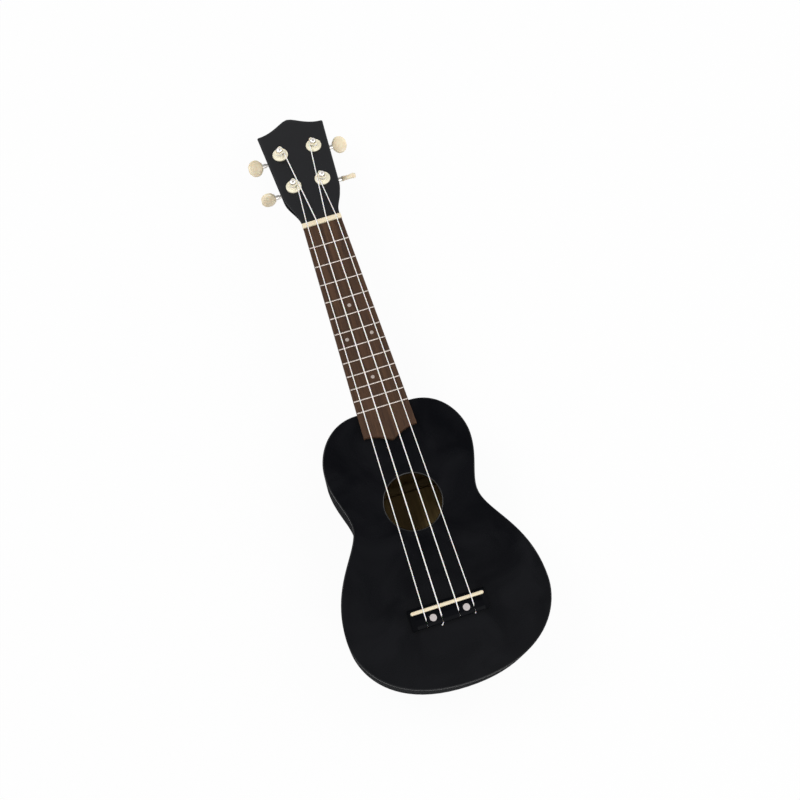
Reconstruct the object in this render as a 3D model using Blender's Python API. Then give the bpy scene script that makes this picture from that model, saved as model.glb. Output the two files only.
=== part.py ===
"""Soprano ukulele, modelled as the separate pieces that it comes apart into.

The instrument lies on its flat back. +X is to the treble side, +Y runs towards the headstock and +Z
stands out of the soundboard. The origin is on the outer face of the back, midway along the body.
All sizes are in metres.
"""

import math

import bmesh
import bpy
from mathutils import Matrix, Vector

# Clearance between pieces that are glued, pressed or rested together
GAP = 0.0003
# How far cutters reach past the faces that they cut
MARGIN = 0.002

# Body
SCALE_LENGTH = 0.345
JOINT_FRET = 12
FRET_COUNT = 12
BODY_LENGTH = 0.2383
BODY_DEPTH = 0.060
SOUNDBOARD_THICKNESS = 0.0018
BACK_THICKNESS = 0.0020
SIDE_THICKNESS = 0.0018
SOUNDHOLE_DIAMETER = 0.048
SOUNDHOLE_FROM_JOINT = 0.084

# Outline of the body: half widths, their distances from the neck joint, and how full each curve is
JOINT_HALF_WIDTH = 0.0240
UPPER_BOUT_HALF_WIDTH = 0.0636
WAIST_HALF_WIDTH = 0.0540
LOWER_BOUT_HALF_WIDTH = 0.0858
UPPER_BOUT_FROM_JOINT = 0.0424
WAIST_FROM_JOINT = 0.0887
LOWER_BOUT_FROM_JOINT = 0.1757
SHOULDER_FULLNESS = (0.63, 0.46)
UPPER_WAIST_FULLNESS = (0.42, 0.27)
LOWER_WAIST_FULLNESS = (0.24, 0.55)
TAIL_FULLNESS = (0.41, 0.76)
OUTLINE_STEPS = 9

# Inside the body
LINING_WIDTH = 0.0050
LINING_HEIGHT = 0.0110
LINING_EDGE = 0.0040
NECK_BLOCK_WIDTH = 0.046
NECK_BLOCK_DEPTH = 0.022
TAIL_BLOCK_WIDTH = 0.040
TAIL_BLOCK_DEPTH = 0.012
BRACE_WIDTH = 0.0060
BRACE_HEIGHT = 0.0090
BRACE_END_HEIGHT = 0.0025
BRACE_TAPER = 0.022
UPPER_TOP_BRACE_FROM_JOINT = 0.050
LOWER_TOP_BRACE_FROM_JOINT = 0.118
UPPER_BACK_BRACE_FROM_JOINT = 0.062
LOWER_BACK_BRACE_FROM_JOINT = 0.152
BRIDGE_PLATE_LENGTH = 0.080
BRIDGE_PLATE_WIDTH = 0.026
BRIDGE_PLATE_THICKNESS = 0.0018

# Neck
NUT_HALF_WIDTH = 0.0173
NECK_DEPTH_AT_NUT = 0.0140
NECK_DEPTH_AT_HEEL = 0.0165
NECK_BACK_FLAT = 0.10
HEEL_LENGTH = 0.040
HEEL_DEPTH = 0.058
HEEL_TAPER = 0.55
NECK_SECTION_STEPS = 5
TENON_WIDTH = 0.016
TENON_LENGTH = 0.012
TENON_ROOT = 0.002
TENON_TOP = 0.050
TENON_BOTTOM = 0.016
HEEL_DEEPENING = 2.4
HEEL_SQUARING = 1.3
HEEL_SIDE_CURVE = 1.4
SECTION_FULLNESS = 0.9
NUT_LEDGE = 0.0010

# Headstock
HEAD_ANGLE = math.radians(12.0)
HEAD_THICKNESS = 0.0125
HEAD_ROOT = 0.008
HEAD_ROOT_WIDTH_SHARE = 0.8
HEAD_ROOT_DEPTH_SHARE = 0.6
HEAD_START = 0.0004
HEAD_SHOULDER_START = 0.002
HEAD_SHOULDER_END = 0.035
HEAD_SHOULDER_HALF_WIDTH = 0.0261
HEAD_SHOULDER_FULLNESS = 0.36
HEAD_CORNER_HALF_WIDTH = 0.0302
HEAD_CORNER_HEIGHT = 0.1060
HEAD_PEAK_HEIGHT = 0.1173
OGEE_DIP = 0.5
OGEE_PEAK = 0.2

# Fingerboard, nut and frets
BOARD_THICKNESS = 0.0040
BOARD_END_HALF_WIDTH = 0.0231
BOARD_CORNER_PAST_JOINT = 0.0221
BOARD_TIP_PAST_CORNER = 0.0072
BOARD_OGEE_DIP = 0.6
BOARD_OGEE_TIP = 0.13
NUT_THICKNESS = 0.0048
NUT_HEIGHT = 0.0062
NUT_BACK_HEIGHT = 0.0050
NUT_OVERHANG = 0.0003
NUT_CHAMFER = 0.0006
NUT_CREST_WIDTH = 0.0018
NUT_BACK_CHAMFER = 0.0004
FRET_WIDTH = 0.0019
FRET_HEIGHT = 0.0010
FRET_TANG_WIDTH = 0.0006
FRET_TANG_DEPTH = 0.0014
FRET_INSET = 0.0008
FRET_END_SLOPE = 0.6
FRET_ARC_STEPS = 6

# Bridge and saddle
BRIDGE_LENGTH = 0.0655
BRIDGE_WIDTH = 0.0176
BRIDGE_HEIGHT = 0.0066
BRIDGE_EDGE_HEIGHT = 0.0040
BRIDGE_FRONT_SLOPE = 0.0018
BRIDGE_BACK_SLOPE = 0.0075
BRIDGE_END_TAPER = 0.0040
BRIDGE_END_SHARE = 0.62
BRIDGE_BACK_BREAK = 0.4
SADDLE_FROM_FRONT = 0.0042
SADDLE_LENGTH = 0.0615
SADDLE_THICKNESS = 0.0028
SADDLE_SEAT_DEPTH = 0.0034
SADDLE_RISE = 0.0024
# Up the saddle's rounded top: how far below the crown in radii, and the share there of its thickness
SADDLE_CROWN = ((1.0, 1.0), (0.4, 0.8), (0.0, 0.3))
END_STEPS = 6
STRING_SLOT_LENGTH = 0.0068
STRING_SLOT_FLOOR = 0.0016
KNOT_POCKET_LENGTH = 0.0034
KNOT_POCKET_WIDTH = 0.0034
KNOT_POCKET_FLOOR = 0.0008
KNOT_POCKET_ROOF = 0.0034
KNOT_RADIUS = 0.0012
KNOT_HEIGHT = 0.0021
SCREW_CAP_DIAMETER = 0.0058
SCREW_CAP_HEIGHT = 0.0004
SCREW_CAP_SPACING = 0.0280
SCREW_CAP_FROM_SADDLE = 0.0075

# Strings, from the bass side
STRING_DIAMETERS = (0.00075, 0.00090, 0.00085, 0.00070)
NUT_STRING_X = (-0.0132, -0.0045, 0.0045, 0.0132)
SADDLE_STRING_X = (-0.0201, -0.0072, 0.0072, 0.0201)
STRING_ABOVE_BOARD_AT_NUT = 0.0017
# The knotted end, from the bridge's back face: its ends, and the knot between them
KNOT_REACH = (0.0003, 0.0008, 0.0022, 0.0030)
STRING_OUT_OF_SLOT = 0.0012
# Where each string bends over the saddle, from its middle: along and down
SADDLE_BENDS = ((-0.0018, 0.0006), (-0.0006, 0.0), (0.0006, 0.0))
# Where each string bends in its nut slot, from the front face: along and down
NUT_BENDS = ((0.0008, 0.0), (0.0020, 0.0001), (NUT_THICKNESS, 0.0006))
# How far into its post each string's end reaches, in post radii
STRING_END_REACH = (0.3, -0.5)
POST_WRAP = math.radians(200.0)
WRAP_HEIGHT = 0.00345
WINDING_CLEARANCE = 0.00045
WINDING_TURNS = 2
LOOP_POINTS = 24
WRAP_POST_GAP = 0.00015
WINDING_SWING = math.radians(50.0)
HOLE_BEND_RADIUS = 0.0009
BEND_STEPS = 5

# Tuning machines, measured in the head's own frame: X across, Y towards the tip, Z out of the face
UPPER_POST = (0.0156, 0.0802)
LOWER_POST = (0.0133, 0.0427)
POST_RADIUS = 0.00275
POST_TOP = 0.0098
POST_HOLE_HEIGHT = 0.0081
POST_HOLE_RADIUS = 0.0007
POST_TAIL_RADIUS = 0.0019
POST_SCREW_RADIUS = 0.0027
POST_SCREW_HEIGHT = 0.0010
POST_CHAMFER = 0.0004
FERRULE_RADIUS = 0.00725
FERRULE_RIM = 0.0012
FERRULE_TOP = 0.0026
FERRULE_CROWN_RADIUS = 0.0052
FERRULE_SLEEVE_RADIUS = 0.0046
FERRULE_SLEEVE_LENGTH = 0.0080
PLATE_TAIL_REACH = 0.0128
PLATE_TIP_REACH = 0.0192
PLATE_THICKNESS = 0.0012
EAR_THICKNESS = 0.0012
EAR_WALL = 0.0011
EAR_EDGE_STEP = 0.0001
GEAR_TEETH = 14
GEAR_PITCH_RADIUS = 0.0040
GEAR_THICKNESS = 0.0036
GEAR_FROM_PLATE = 0.0013
TOOTH_HEIGHT = 0.00048
TOOTH_ROOT = 0.00062
TOOTH_TIP_SHARE = 0.24
TOOTH_ROOT_SHARE = 0.56
WORM_PITCH_RADIUS = 0.0022
WORM_LENGTH = 0.0066
WORM_STEPS = 16
SHAFT_RADIUS = 0.0015
SHAFT_PAST_EAR = 0.0008
BUTTON_FROM_POST = 0.0170
BUTTON_LENGTH = 0.0136
BUTTON_WIDTH = 0.0150
BUTTON_THICKNESS = 0.0042
BUTTON_BORE_DEPTH = 0.0075
BUTTON_BORE_START = 0.9
# Along the button: how far, and the shares there of its width and of its thickness
BUTTON_SECTIONS = (
    (0.00, 0.30, 1.05),
    (0.09, 0.38, 1.16),
    (0.22, 0.68, 1.10),
    (0.38, 0.93, 1.02),
    (0.55, 1.00, 1.00),
    (0.73, 0.92, 1.08),
    (0.88, 0.70, 1.20),
    (1.00, 0.38, 0.98),
)
BUTTON_SIDES = 12
BUTTON_FLATNESS = 0.8
TURNED_SIDES = 20
SMALL_SIDES = 16

# Places that follow from the sizes above
JOINT_Y = BODY_LENGTH / 2
TAIL_Y = -BODY_LENGTH / 2
NUT_Y = JOINT_Y + SCALE_LENGTH * (1 - 2 ** (-JOINT_FRET / 12))
SADDLE_Y = NUT_Y - SCALE_LENGTH
TOP_Z = BODY_DEPTH
BOARD_BOTTOM_Z = TOP_Z + GAP
BOARD_TOP_Z = BOARD_BOTTOM_Z + BOARD_THICKNESS
BRIDGE_BOTTOM_Z = TOP_Z + GAP
BRIDGE_FRONT_Y = SADDLE_Y + SADDLE_FROM_FRONT
BRIDGE_BACK_Y = BRIDGE_FRONT_Y - BRIDGE_WIDTH
SADDLE_TOP_Z = BRIDGE_BOTTOM_Z + BRIDGE_HEIGHT + SADDLE_RISE
SIDE_BOTTOM_Z = BACK_THICKNESS + GAP
SIDE_TOP_Z = TOP_Z - SOUNDBOARD_THICKNESS - GAP
PLATE_FRONT = -HEAD_THICKNESS - GAP
PLATE_BACK = PLATE_FRONT - PLATE_THICKNESS
GEAR_FRONT = PLATE_BACK - GEAR_FROM_PLATE
GEAR_BACK = GEAR_FRONT - GEAR_THICKNESS
WORM_DEPTH = (GEAR_FRONT + GEAR_BACK) / 2
WORM_OFFSET = GEAR_PITCH_RADIUS + WORM_PITCH_RADIUS
THREAD_LEAD = 2 * math.pi * GEAR_PITCH_RADIUS / GEAR_TEETH
EAR_INSIDE = WORM_LENGTH / 2 + 2 * GAP
EAR_OUTSIDE = EAR_INSIDE + EAR_THICKNESS
HEAD_PLACE = Matrix.Translation((0, NUT_Y + NUT_THICKNESS, TOP_Z)) @ Matrix.Rotation(-HEAD_ANGLE, 4, "X")

# Each tuning machine: number, side, post place, and how far its button is turned on its shaft
TUNERS = (
    (1, -1, LOWER_POST, math.radians(78.0)),
    (2, -1, UPPER_POST, math.radians(27.0)),
    (3, 1, UPPER_POST, math.radians(37.0)),
    (4, 1, LOWER_POST, math.radians(-53.0)),
)
STRING_NAMES = ("string_g", "string_c", "string_e", "string_a")


def clear_scene():
    for item in list(bpy.data.objects):
        bpy.data.objects.remove(item, do_unlink=True)


def material(name, color, roughness, metallic=0.0):
    """A Principled material; each piece has one of its own."""
    made = bpy.data.materials.new(name)
    made.use_nodes = True
    shader = made.node_tree.nodes["Principled BSDF"]
    shader.inputs["Base Color"].default_value = (*color, 1.0)
    shader.inputs["Roughness"].default_value = roughness
    shader.inputs["Metallic"].default_value = metallic
    return made


BLACK = (0.006, 0.006, 0.007)
ROSEWOOD = (0.090, 0.046, 0.030)
BARE_WOOD = (0.42, 0.28, 0.13)
CREAM = (0.82, 0.74, 0.55)
PEARL = (0.84, 0.76, 0.62)
NICKEL = (0.66, 0.65, 0.62)
NYLON = (0.86, 0.85, 0.82)


def add_object(name, mesh, finish, parent=None, place=Matrix.Identity(4)):
    """Puts a bmesh into the scene as one named object with its own material."""
    bmesh.ops.recalc_face_normals(mesh, faces=mesh.faces)
    data = bpy.data.meshes.new(name)
    mesh.to_mesh(data)
    mesh.free()
    item = bpy.data.objects.new(name, data)
    bpy.context.scene.collection.objects.link(item)
    item.parent = parent
    item.matrix_local = place
    if finish is not None:
        color, roughness, metallic = finish
        data.materials.append(material(name, color, roughness, metallic))
        data.shade_smooth()
        data.set_sharp_from_angle(angle=math.radians(32.0))
    return item


def add_tool(name, mesh, parent=None, place=Matrix.Identity(4)):
    """A hidden solid that only cuts or joins others."""
    tool = add_object(name, mesh, None, parent, place)
    tool.hide_render = True
    tool.display_type = "WIRE"
    return tool


def boolean(target, tool, operation):
    change = target.modifiers.new(f"{operation.lower()} {tool.name}", "BOOLEAN")
    change.operation = operation
    change.solver = "EXACT"
    change.object = tool


def prism(outline, low, high):
    """A flat outline in X and Y raised from low to high."""
    mesh = bmesh.new()
    face = mesh.faces.new([mesh.verts.new((x, y, low)) for x, y in outline])
    raised = bmesh.ops.extrude_face_region(mesh, geom=[face])["geom"]
    lifted = [v for v in raised if isinstance(v, bmesh.types.BMVert)]
    bmesh.ops.translate(mesh, verts=lifted, vec=(0, 0, high - low))
    return mesh


def loft(rings):
    """A closed skin over rings that all have the same number of points."""
    mesh = bmesh.new()
    rows = [[mesh.verts.new(point) for point in ring] for ring in rings]
    for lower, upper in zip(rows, rows[1:]):
        for i in range(len(lower)):
            j = (i + 1) % len(lower)
            mesh.faces.new((lower[i], lower[j], upper[j], upper[i]))
    mesh.faces.new(rows[0])
    mesh.faces.new(rows[-1])
    return mesh


def box(low, high):
    mesh = bmesh.new()
    bmesh.ops.create_cube(mesh, size=1.0)
    size = Vector(high) - Vector(low)
    bmesh.ops.scale(mesh, verts=mesh.verts, vec=size)
    bmesh.ops.translate(mesh, verts=mesh.verts, vec=Vector(low) + size / 2)
    return mesh


def boxes(corners):
    """Several boxes that don't touch, in one mesh, for cutting."""
    whole = bmesh.new()
    for low, high in corners:
        piece = box(low, high)
        scratch = bpy.data.meshes.new("scratch")
        piece.to_mesh(scratch)
        piece.free()
        whole.from_mesh(scratch)
        bpy.data.meshes.remove(scratch)
    return whole


def turned(profile, sides):
    """A turned solid about Z: profile points are radius and height, and both ends lie on the axis or meet."""
    mesh = bmesh.new()
    points = [mesh.verts.new((radius, 0, height)) for radius, height in profile]
    edges = [mesh.edges.new(pair) for pair in zip(points, points[1:])]
    if profile[0][0] > 0:
        edges.append(mesh.edges.new((points[-1], points[0])))
    bmesh.ops.spin(
        mesh,
        geom=points + edges,
        cent=(0, 0, 0),
        axis=(0, 0, 1),
        angle=2 * math.pi,
        steps=sides,
        use_merge=True,
    )
    bmesh.ops.remove_doubles(mesh, verts=mesh.verts, dist=1e-7)
    bmesh.ops.dissolve_degenerate(mesh, edges=mesh.edges, dist=1e-7)
    return mesh


def rod(radius, low, high, sides=SMALL_SIDES):
    return turned([(0, low), (radius, low), (radius, high), (0, high)], sides)


def tube(name, points, radius, finish, resolution, knot=0.0, parent=None):
    """A cord along points, with filled ends. A knot is a swelling at its first points."""
    curve = bpy.data.curves.new(name, "CURVE")
    curve.dimensions = "3D"
    curve.bevel_depth = radius
    curve.bevel_resolution = resolution
    curve.use_fill_caps = True
    spline = curve.splines.new("POLY")
    spline.points.add(len(points) - 1)
    for i, point in enumerate(points):
        spline.points[i].co = (*point, 1.0)
    if knot:
        spline.points[1].radius = knot / radius
        spline.points[2].radius = knot / radius
    color, roughness, metallic = finish
    curve.materials.append(material(name, color, roughness, metallic))
    item = bpy.data.objects.new(name, curve)
    bpy.context.scene.collection.objects.link(item)
    item.parent = parent
    return item


def bezier(start, first, second, end, steps):
    """Points of a cubic curve, without its last one."""
    made = []
    for i in range(steps):
        t = i / steps
        weights = ((1 - t) ** 3, 3 * (1 - t) ** 2 * t, 3 * (1 - t) * t * t, t**3)
        parts = (Vector(p) * w for p, w in zip((start, first, second, end), weights))
        made.append(sum(parts, Vector((0, 0))))
    return made


def body_half(inset=0.0):
    """The treble half of the body's outline, from the neck joint to the tail, moved inwards by inset."""
    joint = Vector((JOINT_HALF_WIDTH, JOINT_Y))
    upper = Vector((UPPER_BOUT_HALF_WIDTH, JOINT_Y - UPPER_BOUT_FROM_JOINT))
    waist = Vector((WAIST_HALF_WIDTH, JOINT_Y - WAIST_FROM_JOINT))
    lower = Vector((LOWER_BOUT_HALF_WIDTH, JOINT_Y - LOWER_BOUT_FROM_JOINT))
    tail = Vector((0.0, TAIL_Y))
    out, back = Vector((1, 0)), Vector((0, -1))
    stretches = (
        (joint, out * (upper.x - joint.x), back * (joint.y - upper.y), upper, SHOULDER_FULLNESS),
        (upper, back * (upper.y - waist.y), back * (upper.y - waist.y), waist, UPPER_WAIST_FULLNESS),
        (waist, back * (waist.y - lower.y), back * (waist.y - lower.y), lower, LOWER_WAIST_FULLNESS),
        (lower, back * (lower.y - tail.y), -out * lower.x, tail, TAIL_FULLNESS),
    )
    points = []
    for start, leave, arrive, end, (first, second) in stretches:
        points += bezier(start, start + leave * first, end - arrive * second, end, OUTLINE_STEPS)
    points.append(tail)
    last = len(points) - 1
    moved = []
    for i, point in enumerate(points):
        ahead = points[i + 1] if i < last else Vector((-points[i - 1].x, points[i - 1].y))
        behind = points[i - 1] if i else Vector((0.0, JOINT_Y))
        along = (ahead - behind).normalized()
        if i == last:
            along = -out
        elif i == 0:
            along = out
        moved.append(point + Vector((along.y, -along.x)) * inset)
    return moved


def body_outline(inset=0.0):
    """The whole outline of the body, once round."""
    half = body_half(inset)
    return half + [Vector((-p.x, p.y)) for p in reversed(half[:-1])]


def width_at(y, inset):
    """Half the width of the inset outline at y."""
    half = body_half(inset)
    for first, second in zip(half, half[1:]):
        if second.y <= y <= first.y and first.y > second.y:
            share = (first.y - y) / (first.y - second.y)
            return first.x + (second.x - first.x) * share
    return 0.0


def make_soundboard():
    """Flat top with its round soundhole."""
    board = prism(body_outline(), TOP_Z - SOUNDBOARD_THICKNESS, TOP_Z)
    top = add_object("soundboard", board, (BLACK, 0.28, 0.0))
    middle = Matrix.Translation((0, JOINT_Y - SOUNDHOLE_FROM_JOINT, TOP_Z - SOUNDBOARD_THICKNESS / 2))
    reach = 2 * SOUNDBOARD_THICKNESS
    hole = add_tool("soundhole_cutter", rod(SOUNDHOLE_DIAMETER / 2, -reach, reach, 36), None, middle)
    boolean(top, hole, "DIFFERENCE")


def make_back():
    add_object("back", prism(body_outline(), 0.0, BACK_THICKNESS), (BLACK, 0.28, 0.0))


def side_path():
    """Stations along one side: the outer point, the inward direction, and the lining's share of its width."""
    outer, inner = body_half(), body_half(SIDE_THICKNESS)
    stops = TAIL_BLOCK_WIDTH / 2 + SIDE_THICKNESS
    stations = [(Vector((TENON_WIDTH / 2 + GAP, JOINT_Y)), Vector((0, -1)), 0.0)]
    for i, (point, within) in enumerate(zip(outer, inner)):
        inward = (within - point).normalized()
        at_tail = point.x < stops and point.y < 0
        if at_tail and stations[-1][2] > 0:
            before = stations[-1][0]
            edge = point + (before - point) * (stops - point.x) / (before.x - point.x)
            stations.append((edge + (before - edge).normalized() * GAP, inward, 1.0))
            stations.append((edge, inward, 0.0))
        stations.append((point, inward, 0.0 if at_tail or i == 0 else 1.0))
    end, inward, _ = stations.pop()
    stations.append((end + Vector((GAP / 2, 0)), inward, 0.0))
    return stations


def make_side(name, side):
    """A bent side with the lining strips glued along its two edges."""
    rings = []
    for outer, inward, lined in side_path():
        wide = SIDE_THICKNESS + LINING_WIDTH * lined
        section = (
            (0.0, SIDE_BOTTOM_Z),
            (0.0, SIDE_TOP_Z),
            (wide, SIDE_TOP_Z),
            (wide, SIDE_TOP_Z - LINING_EDGE),
            (SIDE_THICKNESS, SIDE_TOP_Z - LINING_HEIGHT),
            (SIDE_THICKNESS, SIDE_BOTTOM_Z + LINING_HEIGHT),
            (wide, SIDE_BOTTOM_Z + LINING_EDGE),
            (wide, SIDE_BOTTOM_Z),
        )
        ring = []
        for depth, height in section:
            spot = outer + inward * depth
            ring.append((spot.x * side, spot.y, height))
        rings.append(ring)
    add_object(name, loft(rings), (BLACK, 0.28, 0.0))


def make_blocks():
    """The blocks inside the body that carry the neck and join the sides at the tail."""
    front = JOINT_Y - SIDE_THICKNESS - GAP
    half = NECK_BLOCK_WIDTH / 2
    low = (-half, front - NECK_BLOCK_DEPTH, BACK_THICKNESS + GAP)
    high = (half, front, TOP_Z - SOUNDBOARD_THICKNESS - GAP)
    block = add_object("neck_block", box(low, high), (BARE_WOOD, 0.7, 0.0))
    reach = TENON_WIDTH / 2 + GAP
    mortise_low = (-reach, JOINT_Y - TENON_LENGTH - GAP, TENON_BOTTOM - GAP)
    mortise = add_tool("mortise_cutter", box(mortise_low, (reach, JOINT_Y + GAP, TENON_TOP + GAP)))
    boolean(block, mortise, "DIFFERENCE")

    inset = SIDE_THICKNESS + GAP
    edge = TAIL_BLOCK_WIDTH / 2
    curve = [p for p in body_half(inset) if p.y < 0]
    past = next(i for i, p in enumerate(curve) if p.x < edge)
    before, after = curve[past - 1], curve[past]
    corner = after + (before - after) * (edge - after.x) / (before.x - after.x)
    half = [(edge, TAIL_Y + inset + TAIL_BLOCK_DEPTH), (corner.x, corner.y)]
    half += [(p.x, p.y) for p in curve[past:]]
    outline = half + [(-x, y) for x, y in reversed(half[:-1])]
    solid = prism(outline, BACK_THICKNESS + GAP, TOP_Z - SOUNDBOARD_THICKNESS - GAP)
    add_object("tail_block", solid, (BARE_WOOD, 0.7, 0.0))


def make_brace(name, from_joint, seat_z, direction):
    """A bar across the body, tapered at both ends, on the inside of the soundboard or of the back."""
    y = JOINT_Y - from_joint
    inset = SIDE_THICKNESS + LINING_WIDTH + GAP
    end = min(width_at(y - BRACE_WIDTH / 2, inset), width_at(y + BRACE_WIDTH / 2, inset)) - GAP
    near = seat_z + direction * GAP
    far = near + direction * BRACE_HEIGHT
    shallow = near + direction * BRACE_END_HEIGHT
    profile = (
        (-end, near),
        (-end, shallow),
        (BRACE_TAPER - end, far),
        (end - BRACE_TAPER, far),
        (end, shallow),
        (end, near),
    )
    rings = [[(x, y + step * BRACE_WIDTH / 2, z) for x, z in profile] for step in (-1, 1)]
    add_object(name, loft(rings), (BARE_WOOD, 0.7, 0.0))


def make_bridge_plate():
    middle = (BRIDGE_FRONT_Y + BRIDGE_BACK_Y) / 2
    top = TOP_Z - SOUNDBOARD_THICKNESS - GAP
    low = (-BRIDGE_PLATE_LENGTH / 2, middle - BRIDGE_PLATE_WIDTH / 2, top - BRIDGE_PLATE_THICKNESS)
    plate = box(low, (BRIDGE_PLATE_LENGTH / 2, middle + BRIDGE_PLATE_WIDTH / 2, top))
    add_object("bridge_plate", plate, (BARE_WOOD, 0.7, 0.0))


def board_half_width(from_nut):
    """Half the fingerboard's width at a distance from the nut."""
    corner = NUT_Y - JOINT_Y + BOARD_CORNER_PAST_JOINT
    return NUT_HALF_WIDTH + (BOARD_END_HALF_WIDTH - NUT_HALF_WIDTH) * from_nut / corner


def neck_ring(from_joint):
    """One cross-section of the neck, flat on top, round behind, deeper and squarer in the heel."""
    length = NUT_Y - JOINT_Y
    half = board_half_width(length - from_joint)
    heel = max(0.0, 1 - from_joint / HEEL_LENGTH)
    plain = NECK_DEPTH_AT_NUT + (NECK_DEPTH_AT_HEEL - NECK_DEPTH_AT_NUT) * (1 - from_joint / length)
    depth = plain + (HEEL_DEPTH - plain) * heel**HEEL_DEEPENING
    squareness = heel**HEEL_SQUARING
    ring = []
    for i in range(NECK_SECTION_STEPS + 1):
        turn = math.pi / 2 * i / NECK_SECTION_STEPS
        round_x = math.cos(turn) ** SECTION_FULLNESS * (1 - NECK_BACK_FLAT) + NECK_BACK_FLAT
        down = math.sin(turn) ** SECTION_FULLNESS
        heel_x = 1 - HEEL_TAPER * down**HEEL_SIDE_CURVE
        x = half * (round_x + (heel_x - round_x) * squareness)
        ring.append((x, TOP_Z - depth * down))
    y = JOINT_Y + from_joint
    right = [(x, y, z) for x, z in ring]
    return right + [(-x, y, z) for x, _, z in reversed(right)]


def head_outline():
    """The headstock in its own plane: shoulders that curve out of the neck, and an ogee top."""
    half = NUT_HALF_WIDTH
    reach = HEAD_SHOULDER_END - HEAD_SHOULDER_START
    slope = (HEAD_CORNER_HALF_WIDTH - HEAD_SHOULDER_HALF_WIDTH) / (HEAD_CORNER_HEIGHT - HEAD_SHOULDER_END)
    start = Vector((half, HEAD_SHOULDER_START))
    shoulder = Vector((HEAD_SHOULDER_HALF_WIDTH, HEAD_SHOULDER_END))
    corner = Vector((HEAD_CORNER_HALF_WIDTH, HEAD_CORNER_HEIGHT))
    peak = Vector((0.0, HEAD_PEAK_HEIGHT))
    points = [Vector((half, HEAD_START))]
    leave = Vector((0, 1)) * reach * HEAD_SHOULDER_FULLNESS
    arrive = Vector((slope, 1)) * reach * HEAD_SHOULDER_FULLNESS
    points += bezier(start, start + leave, shoulder - arrive, shoulder, OUTLINE_STEPS)
    points.append(shoulder)
    dip = corner - Vector((corner.x * OGEE_DIP, 0))
    points += bezier(corner, dip, peak + Vector((corner.x * OGEE_PEAK, 0)), peak, OUTLINE_STEPS)
    points.append(peak)
    return [(p.x, p.y) for p in points] + [(-p.x, p.y) for p in reversed(points[:-1])]


def make_neck(head):
    """Neck shaft, heel and headstock carved from one piece, with the tenon that enters the body."""
    length = NUT_Y - JOINT_Y + NUT_THICKNESS + NUT_LEDGE
    stations = [GAP] + [HEEL_LENGTH * share for share in (0.1, 0.22, 0.36, 0.52, 0.72, 1.0)]
    stations += [(HEEL_LENGTH + length) / 2, length]
    rings = [neck_ring(station) for station in stations]
    root_top = TOP_Z - HEAD_THICKNESS / 4
    root = []
    for x, y, z in rings[-1]:
        sunk = root_top + (z - TOP_Z) * HEAD_ROOT_DEPTH_SHARE
        root.append((x * HEAD_ROOT_WIDTH_SHARE, y + HEAD_ROOT, sunk))
    rings.append(root)
    neck = add_object("neck", loft(rings), (BLACK, 0.28, 0.0))
    face = add_tool("head_solid", prism(head_outline(), -HEAD_THICKNESS, 0.0), head)
    boolean(neck, face, "UNION")
    half = TENON_WIDTH / 2
    tenon_low = (-half, JOINT_Y - TENON_LENGTH, TENON_BOTTOM)
    tenon = add_tool("tenon_solid", box(tenon_low, (half, JOINT_Y + TENON_ROOT, TENON_TOP)))
    boolean(neck, tenon, "UNION")
    for number, side, (x, y), _ in TUNERS:
        spot = Matrix.Translation((side * x, y, 0))
        low, floor = -2 * HEAD_THICKNESS, -FERRULE_SLEEVE_LENGTH - 2 * GAP
        bore, seat = POST_RADIUS + 2 * GAP, FERRULE_SLEEVE_RADIUS + GAP
        high = HEAD_THICKNESS
        profile = [(0, low), (bore, low), (bore, floor), (seat, floor), (seat, high), (0, high)]
        stepped = add_tool(f"post_bore_{number}", turned(profile, SMALL_SIDES), head, spot)
        boolean(neck, stepped, "DIFFERENCE")


def fret_place(number):
    """Distance of a fret from the nut."""
    return SCALE_LENGTH * (1 - 2 ** (-number / 12))


def make_fingerboard():
    """The board, its ogee end over the soundboard, and the slots for the frets."""
    corner_y = JOINT_Y - BOARD_CORNER_PAST_JOINT
    corner = Vector((BOARD_END_HALF_WIDTH, corner_y))
    tip = Vector((0.0, corner_y - BOARD_TIP_PAST_CORNER))
    dip, rise = Vector((BOARD_OGEE_DIP * corner.x, 0)), Vector((BOARD_OGEE_TIP * corner.x, 0))
    end = bezier(corner, corner - dip, tip + rise, tip, OUTLINE_STEPS) + [tip]
    half = [(NUT_HALF_WIDTH, NUT_Y)] + [(p.x, p.y) for p in end]
    outline = half + [(-x, y) for x, y in reversed(half[:-1])]
    board = add_object("fingerboard", prism(outline, BOARD_BOTTOM_Z, BOARD_TOP_Z), (ROSEWOOD, 0.55, 0.0))
    slots = []
    for number in range(1, FRET_COUNT + 1):
        y = NUT_Y - fret_place(number)
        wide = FRET_TANG_WIDTH / 2 + GAP
        reach = board_half_width(fret_place(number)) + MARGIN
        floor = BOARD_TOP_Z - FRET_TANG_DEPTH - GAP
        slots.append(((-reach, y - wide, floor), (reach, y + wide, BOARD_TOP_Z + MARGIN)))
    boolean(board, add_tool("fret_slot_cutter", boxes(slots)), "DIFFERENCE")


def make_fret(number):
    """A fret: a domed crown with sloped ends, on a tang that sits in its slot."""
    away = fret_place(number)
    half = board_half_width(away) - FRET_INSET
    tang = FRET_TANG_WIDTH / 2
    profile = [(tang, -FRET_TANG_DEPTH), (tang, GAP)]
    for i in range(FRET_ARC_STEPS + 1):
        turn = math.pi * i / FRET_ARC_STEPS
        profile.append((FRET_WIDTH / 2 * math.cos(turn), GAP + FRET_HEIGHT * math.sin(turn)))
    profile += [(-tang, GAP), (-tang, -FRET_TANG_DEPTH)]
    rings = []
    for side in (-1, 1):
        ring = []
        for y, z in profile:
            reach = half - FRET_END_SLOPE * max(0.0, z - GAP)
            ring.append((side * reach, NUT_Y - away + y, BOARD_TOP_Z + z))
        rings.append(ring)
    add_object(f"fret_{number:02d}", loft(rings), (NICKEL, 0.25, 1.0))


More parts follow.
